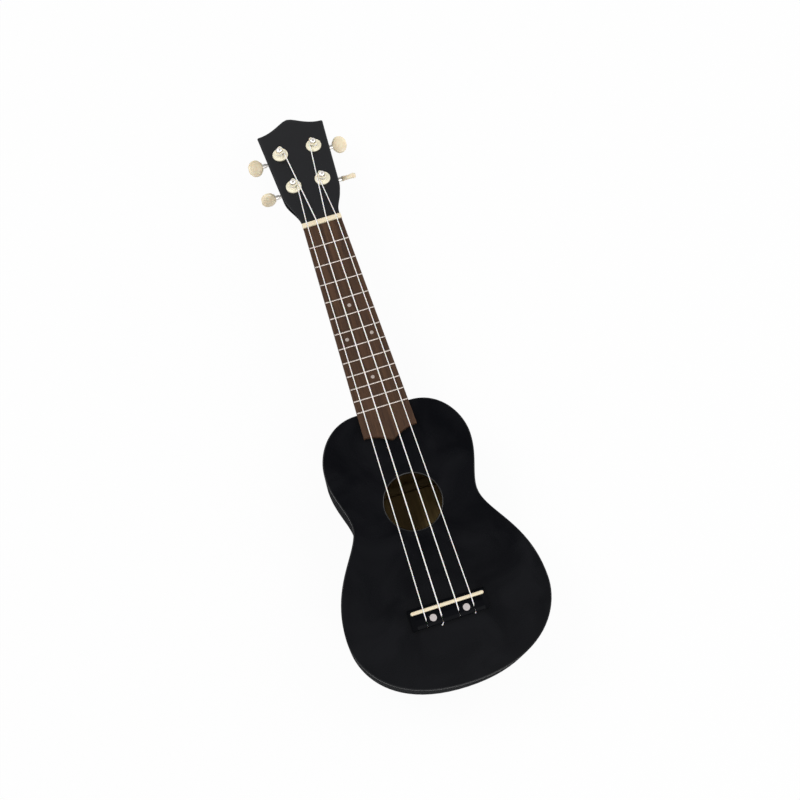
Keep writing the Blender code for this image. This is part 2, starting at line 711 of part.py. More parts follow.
def make_nut():
    """The nut, lower behind, with a slot for each string."""
    half = NUT_HALF_WIDTH + NUT_OVERHANG
    front, back = NUT_Y + GAP, NUT_Y + NUT_THICKNESS
    bottom = BOARD_BOTTOM_Z
    top = bottom + NUT_HEIGHT
    profile = (
        (front, bottom),
        (front, top - NUT_CHAMFER),
        (front + NUT_CHAMFER, top),
        (front + NUT_CREST_WIDTH, top),
        (back - NUT_BACK_CHAMFER, bottom + NUT_BACK_HEIGHT),
        (back, bottom + NUT_BACK_HEIGHT - NUT_CHAMFER),
        (back, bottom),
    )
    rings = [[(side * half, y, z) for y, z in profile] for side in (-1, 1)]
    nut = add_object("nut", loft(rings), (CREAM, 0.4, 0.0))
    cuts = []
    for x, diameter in zip(NUT_STRING_X, STRING_DIAMETERS):
        wide = diameter / 2 + GAP
        floor = BOARD_TOP_Z + STRING_ABOVE_BOARD_AT_NUT - wide
        cuts.append(((x - wide, front - MARGIN, floor), (x + wide, back + MARGIN, top + MARGIN)))
    slots = boxes(cuts)
    for vertex in slots.verts:
        if vertex.co.y > back and vertex.co.z < top:
            vertex.co.z -= (back - front) * math.tan(HEAD_ANGLE)
    boolean(nut, add_tool("nut_slot_cutter", slots), "DIFFERENCE")


def make_bridge():
    """The bridge: sloped front and back, tapered ends, a saddle slot and four slots for knotted strings."""
    base = BRIDGE_BOTTOM_Z
    front, back = BRIDGE_FRONT_Y, BRIDGE_BACK_Y
    rings = []
    for x, rise in (
        (-BRIDGE_LENGTH / 2, BRIDGE_END_SHARE),
        (BRIDGE_END_TAPER - BRIDGE_LENGTH / 2, 1.0),
        (BRIDGE_LENGTH / 2 - BRIDGE_END_TAPER, 1.0),
        (BRIDGE_LENGTH / 2, BRIDGE_END_SHARE),
    ):
        edge = base + min(BRIDGE_EDGE_HEIGHT, BRIDGE_HEIGHT) * rise
        crest = base + BRIDGE_HEIGHT * rise
        profile = (
            (front, base),
            (front, edge),
            (front - BRIDGE_FRONT_SLOPE, crest),
            (back + BRIDGE_BACK_SLOPE, crest),
            (back + BRIDGE_BACK_SLOPE * BRIDGE_BACK_BREAK, crest - (crest - edge) * BRIDGE_BACK_BREAK),
            (back, edge),
            (back, base),
        )
        rings.append([(x, y, z) for y, z in profile])
    bridge = add_object("bridge", loft(rings), (BLACK, 0.35, 0.0))

    for side in (-1, 1):
        cap_z = base + BRIDGE_HEIGHT
        spot = Matrix.Translation((side * SCREW_CAP_SPACING / 2, SADDLE_Y - SCREW_CAP_FROM_SADDLE, cap_z))
        cap = rod(SCREW_CAP_DIAMETER / 2, -BRIDGE_HEIGHT / 2, SCREW_CAP_HEIGHT)
        boolean(bridge, add_tool(f"screw_cap_{side}", cap, None, spot), "UNION")

    seat = SADDLE_THICKNESS / 2 + GAP
    reach = SADDLE_LENGTH / 2 + GAP
    floor = base + BRIDGE_HEIGHT - SADDLE_SEAT_DEPTH - GAP
    high = base + BRIDGE_HEIGHT + MARGIN
    cuts = [((-reach, SADDLE_Y - seat, floor), (reach, SADDLE_Y + seat, high))]
    for x, diameter in zip(SADDLE_STRING_X, STRING_DIAMETERS):
        wide = diameter / 2 + GAP
        slot_floor = base + STRING_SLOT_FLOOR
        cuts.append(((x - wide, back - MARGIN, slot_floor), (x + wide, back + STRING_SLOT_LENGTH, high)))
    boolean(bridge, add_tool("bridge_slot_cutter", boxes(cuts)), "DIFFERENCE")
    pockets = []
    for x in SADDLE_STRING_X:
        wide = KNOT_POCKET_WIDTH / 2
        low = (x - wide, back - MARGIN, base + KNOT_POCKET_FLOOR)
        pockets.append((low, (x + wide, back + KNOT_POCKET_LENGTH, base + KNOT_POCKET_ROOF)))
    boolean(bridge, add_tool("knot_pocket_cutter", boxes(pockets)), "DIFFERENCE")


def make_saddle():
    """The saddle, with round ends and a rounded top, standing in its slot."""
    radius = SADDLE_THICKNESS / 2
    straight = SADDLE_LENGTH / 2 - radius
    bottom = BRIDGE_BOTTOM_Z + BRIDGE_HEIGHT - SADDLE_SEAT_DEPTH
    rings = []
    crown = [(SADDLE_TOP_Z - radius * below, share) for below, share in SADDLE_CROWN]
    for height, share in [(bottom, 1.0), *crown]:
        ring = []
        for side in (1, -1):
            for i in range(END_STEPS + 1):
                turn = math.pi * (i / END_STEPS - side / 2)
                spot = Vector((math.cos(turn), math.sin(turn))) * radius * share
                ring.append((side * straight + spot.x, SADDLE_Y + spot.y, height))
        rings.append(ring)
    add_object("saddle", loft(rings), (CREAM, 0.4, 0.0))


def wrap_radius(diameter):
    """Radius at which a string's middle lies round its post."""
    return POST_RADIUS + WRAP_POST_GAP + diameter / 2


def touch_turn(tuner, nut_point, diameter):
    """The turn angle at which a string from the nut first touches its post."""
    _, side, (x, y), _ = tuner
    nut = HEAD_PLACE.inverted() @ nut_point
    away = Vector((nut.x * side - x, nut.y - y))
    towards_nut = math.atan2(away.y, away.x) % (2 * math.pi)
    return towards_nut - math.acos(wrap_radius(diameter) / away.length)


def on_post(tuner, turn, radius, height):
    """A point round a post in the head's frame; the turn angle is measured from the outer side."""
    _, side, (x, y), _ = tuner
    return Vector((side * (x + radius * math.cos(turn)), y + radius * math.sin(turn), height))


def make_string(index, tuner):
    """One string: its knot in the bridge, over saddle and nut, to the first wrap round its post."""
    diameter = STRING_DIAMETERS[index]
    radius = diameter / 2
    x_nut, x_saddle = NUT_STRING_X[index], SADDLE_STRING_X[index]
    back = BRIDGE_BACK_Y
    knot_z = BRIDGE_BOTTOM_Z + KNOT_HEIGHT
    saddle_z = SADDLE_TOP_Z + GAP + radius
    nut_z = BOARD_TOP_Z + STRING_ABOVE_BOARD_AT_NUT
    points = [Vector((x_saddle, back + away, knot_z)) for away in KNOT_REACH]
    rising = BRIDGE_BOTTOM_Z + BRIDGE_HEIGHT + GAP
    points.append(Vector((x_saddle, back + STRING_SLOT_LENGTH - STRING_OUT_OF_SLOT, rising)))
    points += [Vector((x_saddle, SADDLE_Y + along, saddle_z - down)) for along, down in SADDLE_BENDS]
    points += [Vector((x_nut, NUT_Y + along, nut_z - down)) for along, down in NUT_BENDS]
    start = touch_turn(tuner, points[-1], diameter)
    steps = round(LOOP_POINTS * POST_WRAP / (2 * math.pi))
    for i in range(steps + 1):
        turn = start - POST_WRAP * i / steps
        points.append(HEAD_PLACE @ on_post(tuner, turn, wrap_radius(diameter), WRAP_HEIGHT))
    tube(STRING_NAMES[index], points, radius, (NYLON, 0.35, 0.0), 2, knot=KNOT_RADIUS)
    return start - POST_WRAP


def winding_points(diameter, start):
    """The turns above the first wrap, then the bend into the post's hole."""
    base = wrap_radius(diameter)
    low = WRAP_HEIGHT + diameter + WINDING_CLEARANCE
    bend = math.pi / 2 + math.asin(HOLE_BEND_RADIUS / base)
    end = bend - 2 * math.pi * math.ceil((bend - start) / (2 * math.pi)) - 2 * math.pi * WINDING_TURNS
    steps = round(LOOP_POINTS * (start - end) / (2 * math.pi))
    points = [Vector((math.cos(start), math.sin(start), 0)) * base + Vector((0, 0, low))]
    points[0] -= Vector((math.sin(start), -math.cos(start), 0)) * diameter
    for i in range(steps + 1):
        turn = start + (end - start) * i / steps
        rise = max(0.0, 1 - (turn - end) / WINDING_SWING)
        radius = base + HOLE_BEND_RADIUS * rise * rise * (3 - 2 * rise)
        height = low + (POST_HOLE_HEIGHT - low) * i / steps
        points.append(Vector((radius * math.cos(turn), radius * math.sin(turn), height)))
    centre = Vector((math.cos(bend), math.sin(bend), 0)) * base + Vector((0, 0, POST_HOLE_HEIGHT))
    for i in range(1, BEND_STEPS + 1):
        turn = bend * (1 - i / BEND_STEPS)
        points.append(centre + Vector((math.cos(turn), math.sin(turn), 0)) * HOLE_BEND_RADIUS)
    points += [Vector((0, reach * POST_RADIUS, POST_HOLE_HEIGHT)) for reach in STRING_END_REACH]
    return points


def least_gap(points, diameter):
    """The least gap between stretches of a cord that lie more than four diameters apart along it."""
    along = [0.0]
    for first, second in zip(points, points[1:]):
        along.append(along[-1] + (second - first).length)
    gaps = []
    for i, first in enumerate(points):
        for j in range(i + 1, len(points)):
            if along[j] - along[i] > 4 * diameter:
                gaps.append((points[j] - first).length - diameter)
    return min(gaps)


def make_winding(index, tuner, start, axis):
    """The string's turns that the post carries, as one unbroken tube."""
    number, side, _, _ = tuner
    diameter = STRING_DIAMETERS[index]
    points = winding_points(diameter, start)
    print(f"winding_{number}: least gap to itself {least_gap(points, diameter) * 1000:.2f} mm")
    mirrored = [Vector((side * p.x, p.y, p.z)) for p in points]
    tube(f"winding_{number}", mirrored, diameter / 2, (NYLON, 0.35, 0.0), 1, parent=axis)


def make_post(number, axis):
    """A string post: capstan with its cross hole above the face, and a thin tail that holds the gear."""
    shoulder = GEAR_FRONT + GAP
    tail_end = GEAR_BACK - GAP
    profile = [
        (0, POST_TOP),
        (POST_RADIUS - POST_CHAMFER, POST_TOP),
        (POST_RADIUS, POST_TOP - POST_CHAMFER),
        (POST_RADIUS, shoulder),
        (POST_TAIL_RADIUS, shoulder),
        (POST_TAIL_RADIUS, tail_end),
        (POST_SCREW_RADIUS, tail_end),
        (POST_SCREW_RADIUS, tail_end - POST_SCREW_HEIGHT),
        (0, tail_end - POST_SCREW_HEIGHT),
    ]
    post = add_object(f"string_post_{number}", turned(profile, TURNED_SIDES), (NICKEL, 0.25, 1.0), axis)
    across = Matrix.Translation((0, 0, POST_HOLE_HEIGHT)) @ Matrix.Rotation(math.pi / 2, 4, "X")
    reach = 2 * POST_RADIUS
    hole = add_tool(f"post_hole_{number}", rod(POST_HOLE_RADIUS, -reach, reach, 10), axis, across)
    boolean(post, hole, "DIFFERENCE")


def make_ferrule(number, head, spot):
    """The cream bush that the post turns in: a sleeve in the head and a domed flange on its face."""
    bore = POST_RADIUS + GAP
    profile = [
        (bore, -FERRULE_SLEEVE_LENGTH),
        (bore, FERRULE_TOP),
        (FERRULE_CROWN_RADIUS, FERRULE_TOP),
        (FERRULE_RADIUS, GAP + FERRULE_RIM),
        (FERRULE_RADIUS, GAP),
        (FERRULE_SLEEVE_RADIUS, GAP),
        (FERRULE_SLEEVE_RADIUS, -FERRULE_SLEEVE_LENGTH),
    ]
    add_object(f"ferrule_{number}", turned(profile, TURNED_SIDES), (CREAM, 0.35, 0.0), head, spot)


def make_gear(number, axis):
    """The gear: slanted teeth that follow the worm's thread, one tooth facing the worm at rest."""
    step = 2 * math.pi / GEAR_TEETH
    slant = THREAD_LEAD / (2 * math.pi * WORM_PITCH_RADIUS) / GEAR_PITCH_RADIUS
    tip, root = GEAR_PITCH_RADIUS + TOOTH_HEIGHT, GEAR_PITCH_RADIUS - TOOTH_ROOT
    corners = (
        (-TOOTH_ROOT_SHARE, root),
        (-TOOTH_TIP_SHARE, tip),
        (TOOTH_TIP_SHARE, tip),
        (TOOTH_ROOT_SHARE, root),
    )
    rings = []
    for height in (GEAR_BACK, GEAR_FRONT):
        turned_by = slant * (height - WORM_DEPTH)
        ring = []
        for tooth in range(GEAR_TEETH):
            for share, radius in corners:
                turn = math.pi / 2 + turned_by + step * (tooth + share / 2)
                ring.append((radius * math.cos(turn), radius * math.sin(turn), height))
        rings.append(ring)
    gear = add_object(f"gear_{number}", loft(rings), (NICKEL, 0.35, 1.0), axis)
    reach = GEAR_THICKNESS
    bore = rod(POST_TAIL_RADIUS + GAP, -reach, reach)
    middle = Matrix.Translation((0, 0, WORM_DEPTH))
    boolean(gear, add_tool(f"gear_bore_{number}", bore, axis, middle), "DIFFERENCE")


def make_plate(number, head, spot):
    """The tuning machine's plate, with round ends, and the two ears that carry the worm."""
    half = EAR_OUTSIDE
    outline = []
    for centre, first in ((PLATE_TIP_REACH - half, 0.0), (half - PLATE_TAIL_REACH, math.pi)):
        for i in range(END_STEPS + 1):
            turn = first + math.pi * i / END_STEPS
            outline.append((half * math.cos(turn), centre + half * math.sin(turn)))
    sheet = prism(outline, PLATE_BACK, PLATE_FRONT)
    plate = add_object(f"tuner_plate_{number}", sheet, (NICKEL, 0.3, 1.0), head, spot)
    hole_radius = SHAFT_RADIUS + GAP
    ear_radius = hole_radius + EAR_WALL
    for side in (-1, 1):
        tab = [(ear_radius, PLATE_BACK + PLATE_THICKNESS / 2)]
        for i in range(END_STEPS + 1):
            turn = -math.pi * i / END_STEPS
            tab.append((ear_radius * math.cos(turn), WORM_DEPTH + ear_radius * math.sin(turn)))
        tab.append((-ear_radius, PLATE_BACK + PLATE_THICKNESS / 2))
        faces = (EAR_INSIDE, EAR_OUTSIDE - EAR_EDGE_STEP)
        rings = [[(side * x, WORM_OFFSET + y, z) for y, z in tab] for x in faces]
        boolean(plate, add_tool(f"ear_{number}_{side}", loft(rings), head, spot), "UNION")
    reach = 2 * EAR_OUTSIDE
    across = spot @ Matrix.Translation((0, WORM_OFFSET, WORM_DEPTH)) @ Matrix.Rotation(math.pi / 2, 4, "Y")
    journal = add_tool(f"journal_cutter_{number}", rod(hole_radius, -reach, reach), head, across)
    boolean(plate, journal, "DIFFERENCE")
    through = rod(POST_RADIUS + GAP, 2 * PLATE_BACK, 0.0)
    boolean(plate, add_tool(f"plate_bore_{number}", through, head, spot), "DIFFERENCE")


def make_worm(number, side, axis):
    """The shaft with its single-start right-hand thread between the plate's ears."""
    inner = EAR_OUTSIDE + SHAFT_PAST_EAR
    outer = BUTTON_FROM_POST + BUTTON_BORE_DEPTH - GAP
    low, high = (-inner, outer) if side > 0 else (-outer, inner)
    along = Matrix.Rotation(math.pi / 2, 4, "Y")
    shaft = add_object(f"worm_shaft_{number}", rod(SHAFT_RADIUS, low, high), (NICKEL, 0.25, 1.0), axis, along)
    half_root = THREAD_LEAD * TOOTH_ROOT_SHARE / 2
    half_tip = THREAD_LEAD * TOOTH_TIP_SHARE / 2
    root, tip = SHAFT_RADIUS - GAP, WORM_PITCH_RADIUS + TOOTH_HEIGHT
    reach = WORM_LENGTH / 2 - half_root
    count = round(2 * reach / THREAD_LEAD * WORM_STEPS)
    rings = []
    for i in range(count + 1):
        x = -reach + 2 * reach * i / count
        turn = 2 * math.pi * x / THREAD_LEAD
        section = ((-half_root, root), (-half_tip, tip), (half_tip, tip), (half_root, root))
        rings.append([(x + away, r * math.cos(turn), r * math.sin(turn)) for away, r in section])
    boolean(shaft, add_tool(f"thread_{number}", loft(rings), axis), "UNION")


def make_button(number, side, axis, roll):
    """The flattened, dished button, turned on its shaft by roll."""
    rings = []
    for share, wide, thick in BUTTON_SECTIONS:
        ring = []
        for i in range(BUTTON_SIDES):
            turn = 2 * math.pi * i / BUTTON_SIDES
            flat, edge = math.cos(turn), math.sin(turn)
            y = math.copysign(abs(flat) ** BUTTON_FLATNESS, flat) * BUTTON_WIDTH * wide / 2
            z = math.copysign(abs(edge) ** BUTTON_FLATNESS, edge) * BUTTON_THICKNESS * thick / 2
            ring.append((side * (BUTTON_FROM_POST + BUTTON_LENGTH * share), y, z))
        rings.append(ring)
    turned_place = Matrix.Rotation(roll, 4, "X")
    button = add_object(f"button_{number}", loft(rings), (PEARL, 0.3, 0.0), axis, turned_place)
    mouth = side * BUTTON_FROM_POST * BUTTON_BORE_START
    low, high = sorted((mouth, side * (BUTTON_FROM_POST + BUTTON_BORE_DEPTH)))
    bore = rod(SHAFT_RADIUS + GAP, low, high)
    along = Matrix.Rotation(math.pi / 2, 4, "Y")
    boolean(button, add_tool(f"button_bore_{number}", bore, axis, along), "DIFFERENCE")


def add_axis(name, parent, place):
    """An empty that a group of pieces turns about."""
    axis = bpy.data.objects.new(name, None)
    axis.empty_display_size = 0.01
    bpy.context.scene.collection.objects.link(axis)
    axis.parent = parent
    axis.matrix_local = place
    return axis


def build():
    clear_scene()
    make_soundboard()
    make_back()
    make_side("side_left", -1)
    make_side("side_right", 1)
    make_blocks()
    under_top = TOP_Z - SOUNDBOARD_THICKNESS
    make_brace("top_brace_upper", UPPER_TOP_BRACE_FROM_JOINT, under_top, -1)
    make_brace("top_brace_lower", LOWER_TOP_BRACE_FROM_JOINT, under_top, -1)
    make_brace("back_brace_upper", UPPER_BACK_BRACE_FROM_JOINT, BACK_THICKNESS, 1)
    make_brace("back_brace_lower", LOWER_BACK_BRACE_FROM_JOINT, BACK_THICKNESS, 1)
    make_bridge_plate()

    head = add_axis("head_frame", None, HEAD_PLACE)
    make_neck(head)
    make_fingerboard()
    for number in range(1, FRET_COUNT + 1):
        make_fret(number)
    make_nut()
    make_bridge()
    make_saddle()

    for index, tuner in enumerate(TUNERS):
        number, side, (x, y), roll = tuner
        spot = Matrix.Translation((side * x, y, 0))
        post_axis = add_axis(f"post_axis_{number}", head, spot)
        worm_spot = spot @ Matrix.Translation((0, WORM_OFFSET, WORM_DEPTH))
        key_axis = add_axis(f"key_axis_{number}", head, worm_spot)
        make_ferrule(number, head, spot)
        make_plate(number, head, spot)
        make_post(number, post_axis)
        make_gear(number, post_axis)
        make_worm(number, side, key_axis)
        make_button(number, side, key_axis, roll)
        start = make_string(index, tuner)
        make_winding(index, tuner, start, post_axis)


build()
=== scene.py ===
"""The looks of a soprano ukulele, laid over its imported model.

Every sub-assembly is a class that holds its sizes and builds its own pieces: the sound box, the neck,
the fingerboard, the bridge, the strings and the four tuning machines. Finishes are classes too, and
share two shader groups. All sizes are in metres, in the frame of the model: +X to the treble side,
+Y towards the headstock, +Z out of the soundboard.
"""

import logging
import math
from abc import ABC, abstractmethod
from collections.abc import Iterable, Sequence
from dataclasses import dataclass, field
from enum import Enum
from typing import Any

import bmesh
import bpy
from mathutils import Matrix, Vector


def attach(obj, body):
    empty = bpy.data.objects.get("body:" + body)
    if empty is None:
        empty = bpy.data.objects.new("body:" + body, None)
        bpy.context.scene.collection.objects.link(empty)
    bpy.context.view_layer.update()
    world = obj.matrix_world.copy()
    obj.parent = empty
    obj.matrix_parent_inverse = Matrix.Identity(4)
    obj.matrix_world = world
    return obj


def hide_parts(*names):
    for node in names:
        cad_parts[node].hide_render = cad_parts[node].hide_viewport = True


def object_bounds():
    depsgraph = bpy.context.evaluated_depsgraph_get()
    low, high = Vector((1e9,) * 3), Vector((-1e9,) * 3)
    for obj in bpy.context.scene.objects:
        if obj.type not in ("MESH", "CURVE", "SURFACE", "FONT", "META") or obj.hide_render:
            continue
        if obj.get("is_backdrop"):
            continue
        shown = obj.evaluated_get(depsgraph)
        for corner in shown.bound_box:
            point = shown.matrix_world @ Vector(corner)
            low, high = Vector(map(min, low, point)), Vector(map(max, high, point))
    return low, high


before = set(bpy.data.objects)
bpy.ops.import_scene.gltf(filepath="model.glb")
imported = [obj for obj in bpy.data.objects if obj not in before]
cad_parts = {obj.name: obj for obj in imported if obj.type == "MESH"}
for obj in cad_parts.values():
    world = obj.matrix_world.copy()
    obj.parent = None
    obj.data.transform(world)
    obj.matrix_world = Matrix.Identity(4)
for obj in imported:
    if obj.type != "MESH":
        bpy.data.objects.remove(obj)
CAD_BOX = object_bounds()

log = logging.getLogger("ukulele")

Triple = tuple[float, float, float]
Ring = list[int]
Line = list[tuple[float, float]]
Pairs = tuple[tuple[float, float], ...]
Profile = Sequence[tuple[float, float]]
Piece = bpy.types.Object
Socket = bpy.types.NodeSocket
Tree = bpy.types.NodeTree

INSTRUMENT = "instrument"
TURN = 2 * math.pi
QUARTER = TURN / 4


class Slot(Enum):
    """The record's material slots."""

    LACQUER = "black_lacquer"
    ROSEWOOD = "rosewood"
    BARE_WOOD = "bare_wood"
    CREAM = "cream_plastic"
    PEARL = "pearl_plastic"
    NICKEL = "nickel"
    NYLON = "nylon"


@dataclass(frozen=True)
class Layout:
    """The main sizes that several sub-assemblies share."""

    gap: float = 0.0003
    scale_length: float = 0.345
    body_length: float = 0.2383
    body_depth: float = 0.060
    top_thickness: float = 0.0018
    back_thickness: float = 0.0020
    side_thickness: float = 0.0018
    soundhole_radius: float = 0.024
    soundhole_from_joint: float = 0.084
    board_thickness: float = 0.0040
    nut_thickness: float = 0.0048
    head_angle: float = math.radians(12.0)
    head_thickness: float = 0.0125

    @property
    def joint_y(self) -> float:
        """Where the neck meets the body."""
        return self.body_length / 2

    @property
    def nut_y(self) -> float:
        """The nut's front face, half the scale length beyond the joint."""
        return self.joint_y + self.scale_length / 2

    @property
    def saddle_y(self) -> float:
        """The saddle's middle."""
        return self.nut_y - self.scale_length

    @property
    def board_top(self) -> float:
        """The fingerboard's playing face."""
        return self.body_depth + self.gap + self.board_thickness

    @property
    def head_place(self) -> Matrix:
        """The headstock's own frame: X across, Y towards its tip, Z out of its face."""
        start = Matrix.Translation((0, self.nut_y + self.nut_thickness, self.body_depth))
        return start @ Matrix.Rotation(-self.head_angle, 4, "X")

    def fret_y(self, number: float) -> float:
        """Where a fret lies along the instrument.

        Args:
            number: The fret's number; a half number is midway between two frets.

        Returns:
            Its place on the Y axis.
        """
        below = math.floor(number)
        low, high = (self.nut_y - self.scale_length * (1 - 2 ** (-n / 12)) for n in (below, below + 1))
        return low + (high - low) * (number - below)


LAYOUT = Layout()


def cubic(points: Sequence[Vector], t: float) -> Vector:
    """The point of a cubic curve at a share of its run.

    Args:
        points: Its start, two handles and end.
        t: The share, from 0 to 1.

    Returns:
        The point.
    """
    weights = ((1 - t) ** 3, 3 * (1 - t) ** 2 * t, 3 * (1 - t) * t * t, t**3)
    first, *others = (p * w for p, w in zip(points, weights))
    return sum(others, first)


def bezier(points: Sequence[Vector], steps: int) -> list[Vector]:
    """Samples a cubic curve.

    Args:
        points: Its start, two handles and end.
        steps: How many stretches to divide it into.

    Returns:
        The points along it, without the last one.
    """
    return [cubic(points, i / steps) for i in range(steps)]


def smoothed(points: Sequence[Vector], steps: int) -> list[Vector]:
    """Runs a smooth line through points.

    Args:
        points: Where it passes.
        steps: How many stretches run from each point to the next.

    Returns:
        The points along it; its handles are short, so that it never overshoots.
    """
    made: list[Vector] = []
    for i, (start, end) in enumerate(zip(points, points[1:])):
        before, after = points[max(0, i - 1)], points[min(len(points) - 1, i + 2)]
        reach = (end - start).length
        leave, arrive = (end - before).normalized(), (after - start).normalized()
        made += bezier((start, start + leave * reach / 3, end - arrive * reach / 3, end), steps)
    made.append(points[-1])
    return made


def quarter(steps: int) -> Line:
    """Sine and cosine at even steps through a right angle, with both its ends."""
    return [(math.sin(QUARTER * i / steps), math.cos(QUARTER * i / steps)) for i in range(steps + 1)]


def round_off(bend: float, steps: int) -> Line:
    """A quarter-round corner: how far its points lie inside the one face, and inside the other."""
    return [(bend * (1 - sine), bend * (1 - cosine)) for sine, cosine in quarter(steps)]


def ease(share: float) -> float:
    """A smooth step from 0 to 1."""
    share = min(1.0, max(0.0, share))
    return share * share * (3 - 2 * share)


def inset_loop(loop: Sequence[Vector], distance: float) -> list[Vector]:
    """Moves a closed outline inwards, with mitred corners.

    Args:
        loop: The outline's points, counter-clockwise.
        distance: How far to move each edge.

    Returns:
        The moved points.
    """
    moved = []
    for i, point in enumerate(loop):
        before = (point - loop[i - 1]).normalized()
        after = (loop[(i + 1) % len(loop)] - point).normalized()
        first, second = Vector((-before.y, before.x)), Vector((-after.y, after.x))
        across = (first + second).normalized()
        moved.append(point + across * distance / max(0.3, across.dot(first)))
    return moved


def mirrored(half: Sequence[Vector]) -> list[Vector]:
    """Closes a treble half outline, given from its head end to its tail end, counter-clockwise."""
    whole = list(half) + [Vector((-p.x, p.y)) for p in reversed(half) if abs(p.x) > 1e-7]
    return list(reversed(whole))


def stadium(half_length: float, radius: float, steps: int = 10) -> list[Vector]:
    """An outline with two straight sides along X and two round ends, counter-clockwise."""
    made = []
    for centre, first in ((half_length - radius, -QUARTER), (radius - half_length, QUARTER)):
        for i in range(steps + 1):
            turn = first + math.pi * i / steps
            made.append(Vector((centre + radius * math.cos(turn), radius * math.sin(turn))))
    return made


class Shape:
    """The points and faces of a piece while it is being made."""

    SUPPORT = 0.00015

    def __init__(self) -> None:
        """Starts empty."""
        self.points: list[Vector] = []
        self.faces: list[tuple[int, ...]] = []
        self.parts: list[int] = []

    def ring(self, points: Iterable[Sequence[float]]) -> Ring:
        """Adds points and returns their indices."""
        first = len(self.points)
        self.points.extend(Vector(p) for p in points)
        return list(range(first, len(self.points)))

    def face(self, corners: Sequence[int], part: int = 0) -> None:
        """Adds a face with a finish number."""
        self.faces.append(tuple(corners))
        self.parts.append(part)

    def skin(self, rings: Sequence[Ring], part: int = 0, closed: bool = True) -> None:
        """Covers the room between each ring and the next.

        Args:
            rings: Rings of one length; a ring of one point is a pole.
            part: The finish number of the faces.
            closed: Whether each ring runs back to its start.
        """
        for lower, upper in zip(rings, rings[1:]):
            count = max(len(lower), len(upper))
            for i in range(count if closed else count - 1):
                j = (i + 1) % count
                corners = [lower[i % len(lower)], lower[j % len(lower)]]
                corners += [upper[j % len(upper)], upper[i % len(upper)]]
                self.face(list(dict.fromkeys(corners)), part)

    def slab(
        self,
        outline: Sequence[Vector],
        low: float,
        high: float,
        low_round: float,
        high_round: float,
        steps: int = 4,
    ) -> None:
        """Adds a flat piece with rounded rims.

        Args:
            outline: Its plan, counter-clockwise.
            low: The height of its lower face.
            high: The height of its upper face.
            low_round: The radius of its lower rim, or 0.
            high_round: The radius of its upper rim, or 0.
            steps: How many stretches make a rim.
        """
        stations = [(low_round + self.SUPPORT if low_round else 0.0, low)]
        if low_round:
            stations += [(inset, low + up) for inset, up in round_off(low_round, steps)]
        if high_round:
            stations += [(inset, high - down) for down, inset in round_off(high_round, steps)]
        stations.append((high_round + self.SUPPORT if high_round else 0.0, high))
        self.loft(self.stack(outline, stations))

    def stack(self, outline: Sequence[Vector], stations: Profile) -> list[Ring]:
        """Adds a ring at each station.

        Args:
            outline: The plan of the outermost ring, counter-clockwise.
            stations: How far inside the plan each ring lies, and its height.

        Returns:
            The rings.
        """
        return [self.ring((p.x, p.y, z) for p in inset_loop(outline, inset)) for inset, z in stations]

    def loft(self, rings: Sequence[Ring]) -> None:
        """Covers the room between rings and closes the first and the last."""
        self.skin(rings)
        self.face(rings[0])
        self.face(rings[-1])

    def lathe(self, profile: Profile, sides: int = 48) -> None:
        """Adds a turned form about Z.

        Args:
            profile: Radius and height of each point. It starts and ends on the axis, or is a closed loop.
            sides: How many facets it has round.
        """
        rings = []
        for radius, height in profile:
            count = 1 if radius < 1e-9 else sides
            turns = (TURN * i / sides for i in range(count))
            rings.append(self.ring((radius * math.cos(t), radius * math.sin(t), height) for t in turns))
        if profile[0][0] > 1e-9:
            rings.append(rings[0])
        self.skin(rings)

    def object(
        self,
        name: str,
        finishes: Sequence[bpy.types.Material],
        place: Matrix = Matrix.Identity(4),
        sharp: float = 35.0,
    ) -> Piece:
        """Makes the piece.

        Args:
            name: The object's name.
            finishes: Its materials, by finish number.
            place: Where the points go.
            sharp: The angle in degrees past which an edge stays crisp.

        Returns:
            The object, at the origin, with its place in its mesh.
        """
        mesh = bpy.data.meshes.new(name)
        mesh.from_pydata([place @ p for p in self.points], [], self.faces)
        for finish in finishes:
            mesh.materials.append(finish)
        mesh.polygons.foreach_set("material_index", self.parts)
        work = bmesh.new()
        work.from_mesh(mesh)
        bmesh.ops.remove_doubles(work, verts=work.verts, dist=1e-7)
        bmesh.ops.recalc_face_normals(work, faces=work.faces)
        work.to_mesh(mesh)
        work.free()
        mesh.shade_smooth()
        mesh.set_sharp_from_angle(angle=math.radians(sharp))
        return in_scene(name, mesh)


def in_scene(name: str, data: bpy.types.ID) -> Piece:
    """Makes an object of its data and links it to the scene."""
    made = bpy.data.objects.new(name, data)
    bpy.context.scene.collection.objects.link(made)
    return made


def round_rim(radius: float, height: float, bend: float, rising: bool, steps: int) -> Line:
    """A quarter-round rim for a turned profile.

    Args:
        radius: The outer radius.
        height: The height of the flat face.
        bend: The rim's own radius.
        rising: True from the wall up to a face above; False from a face above down to the wall.
        steps: How many stretches make it.

    Returns:
        Radius and height of its points.
    """
    made = [(radius - bend + bend * cosine, height - bend + bend * sine) for sine, cosine in quarter(steps)]
    return made if rising else list(reversed(made))


def plain_mesh(piece: Piece) -> Piece:
    """Replaces a piece's modifiers by their result.

    Args:
        piece: The object, with its modifiers set.

    Returns:
        The same object with a plain mesh.
    """
    bpy.context.view_layer.update()
    graph = bpy.context.evaluated_depsgraph_get()
    result = bpy.data.meshes.new_from_object(piece.evaluated_get(graph))
    result.name = piece.name
    piece.modifiers.clear()
    piece.data = result
    return piece


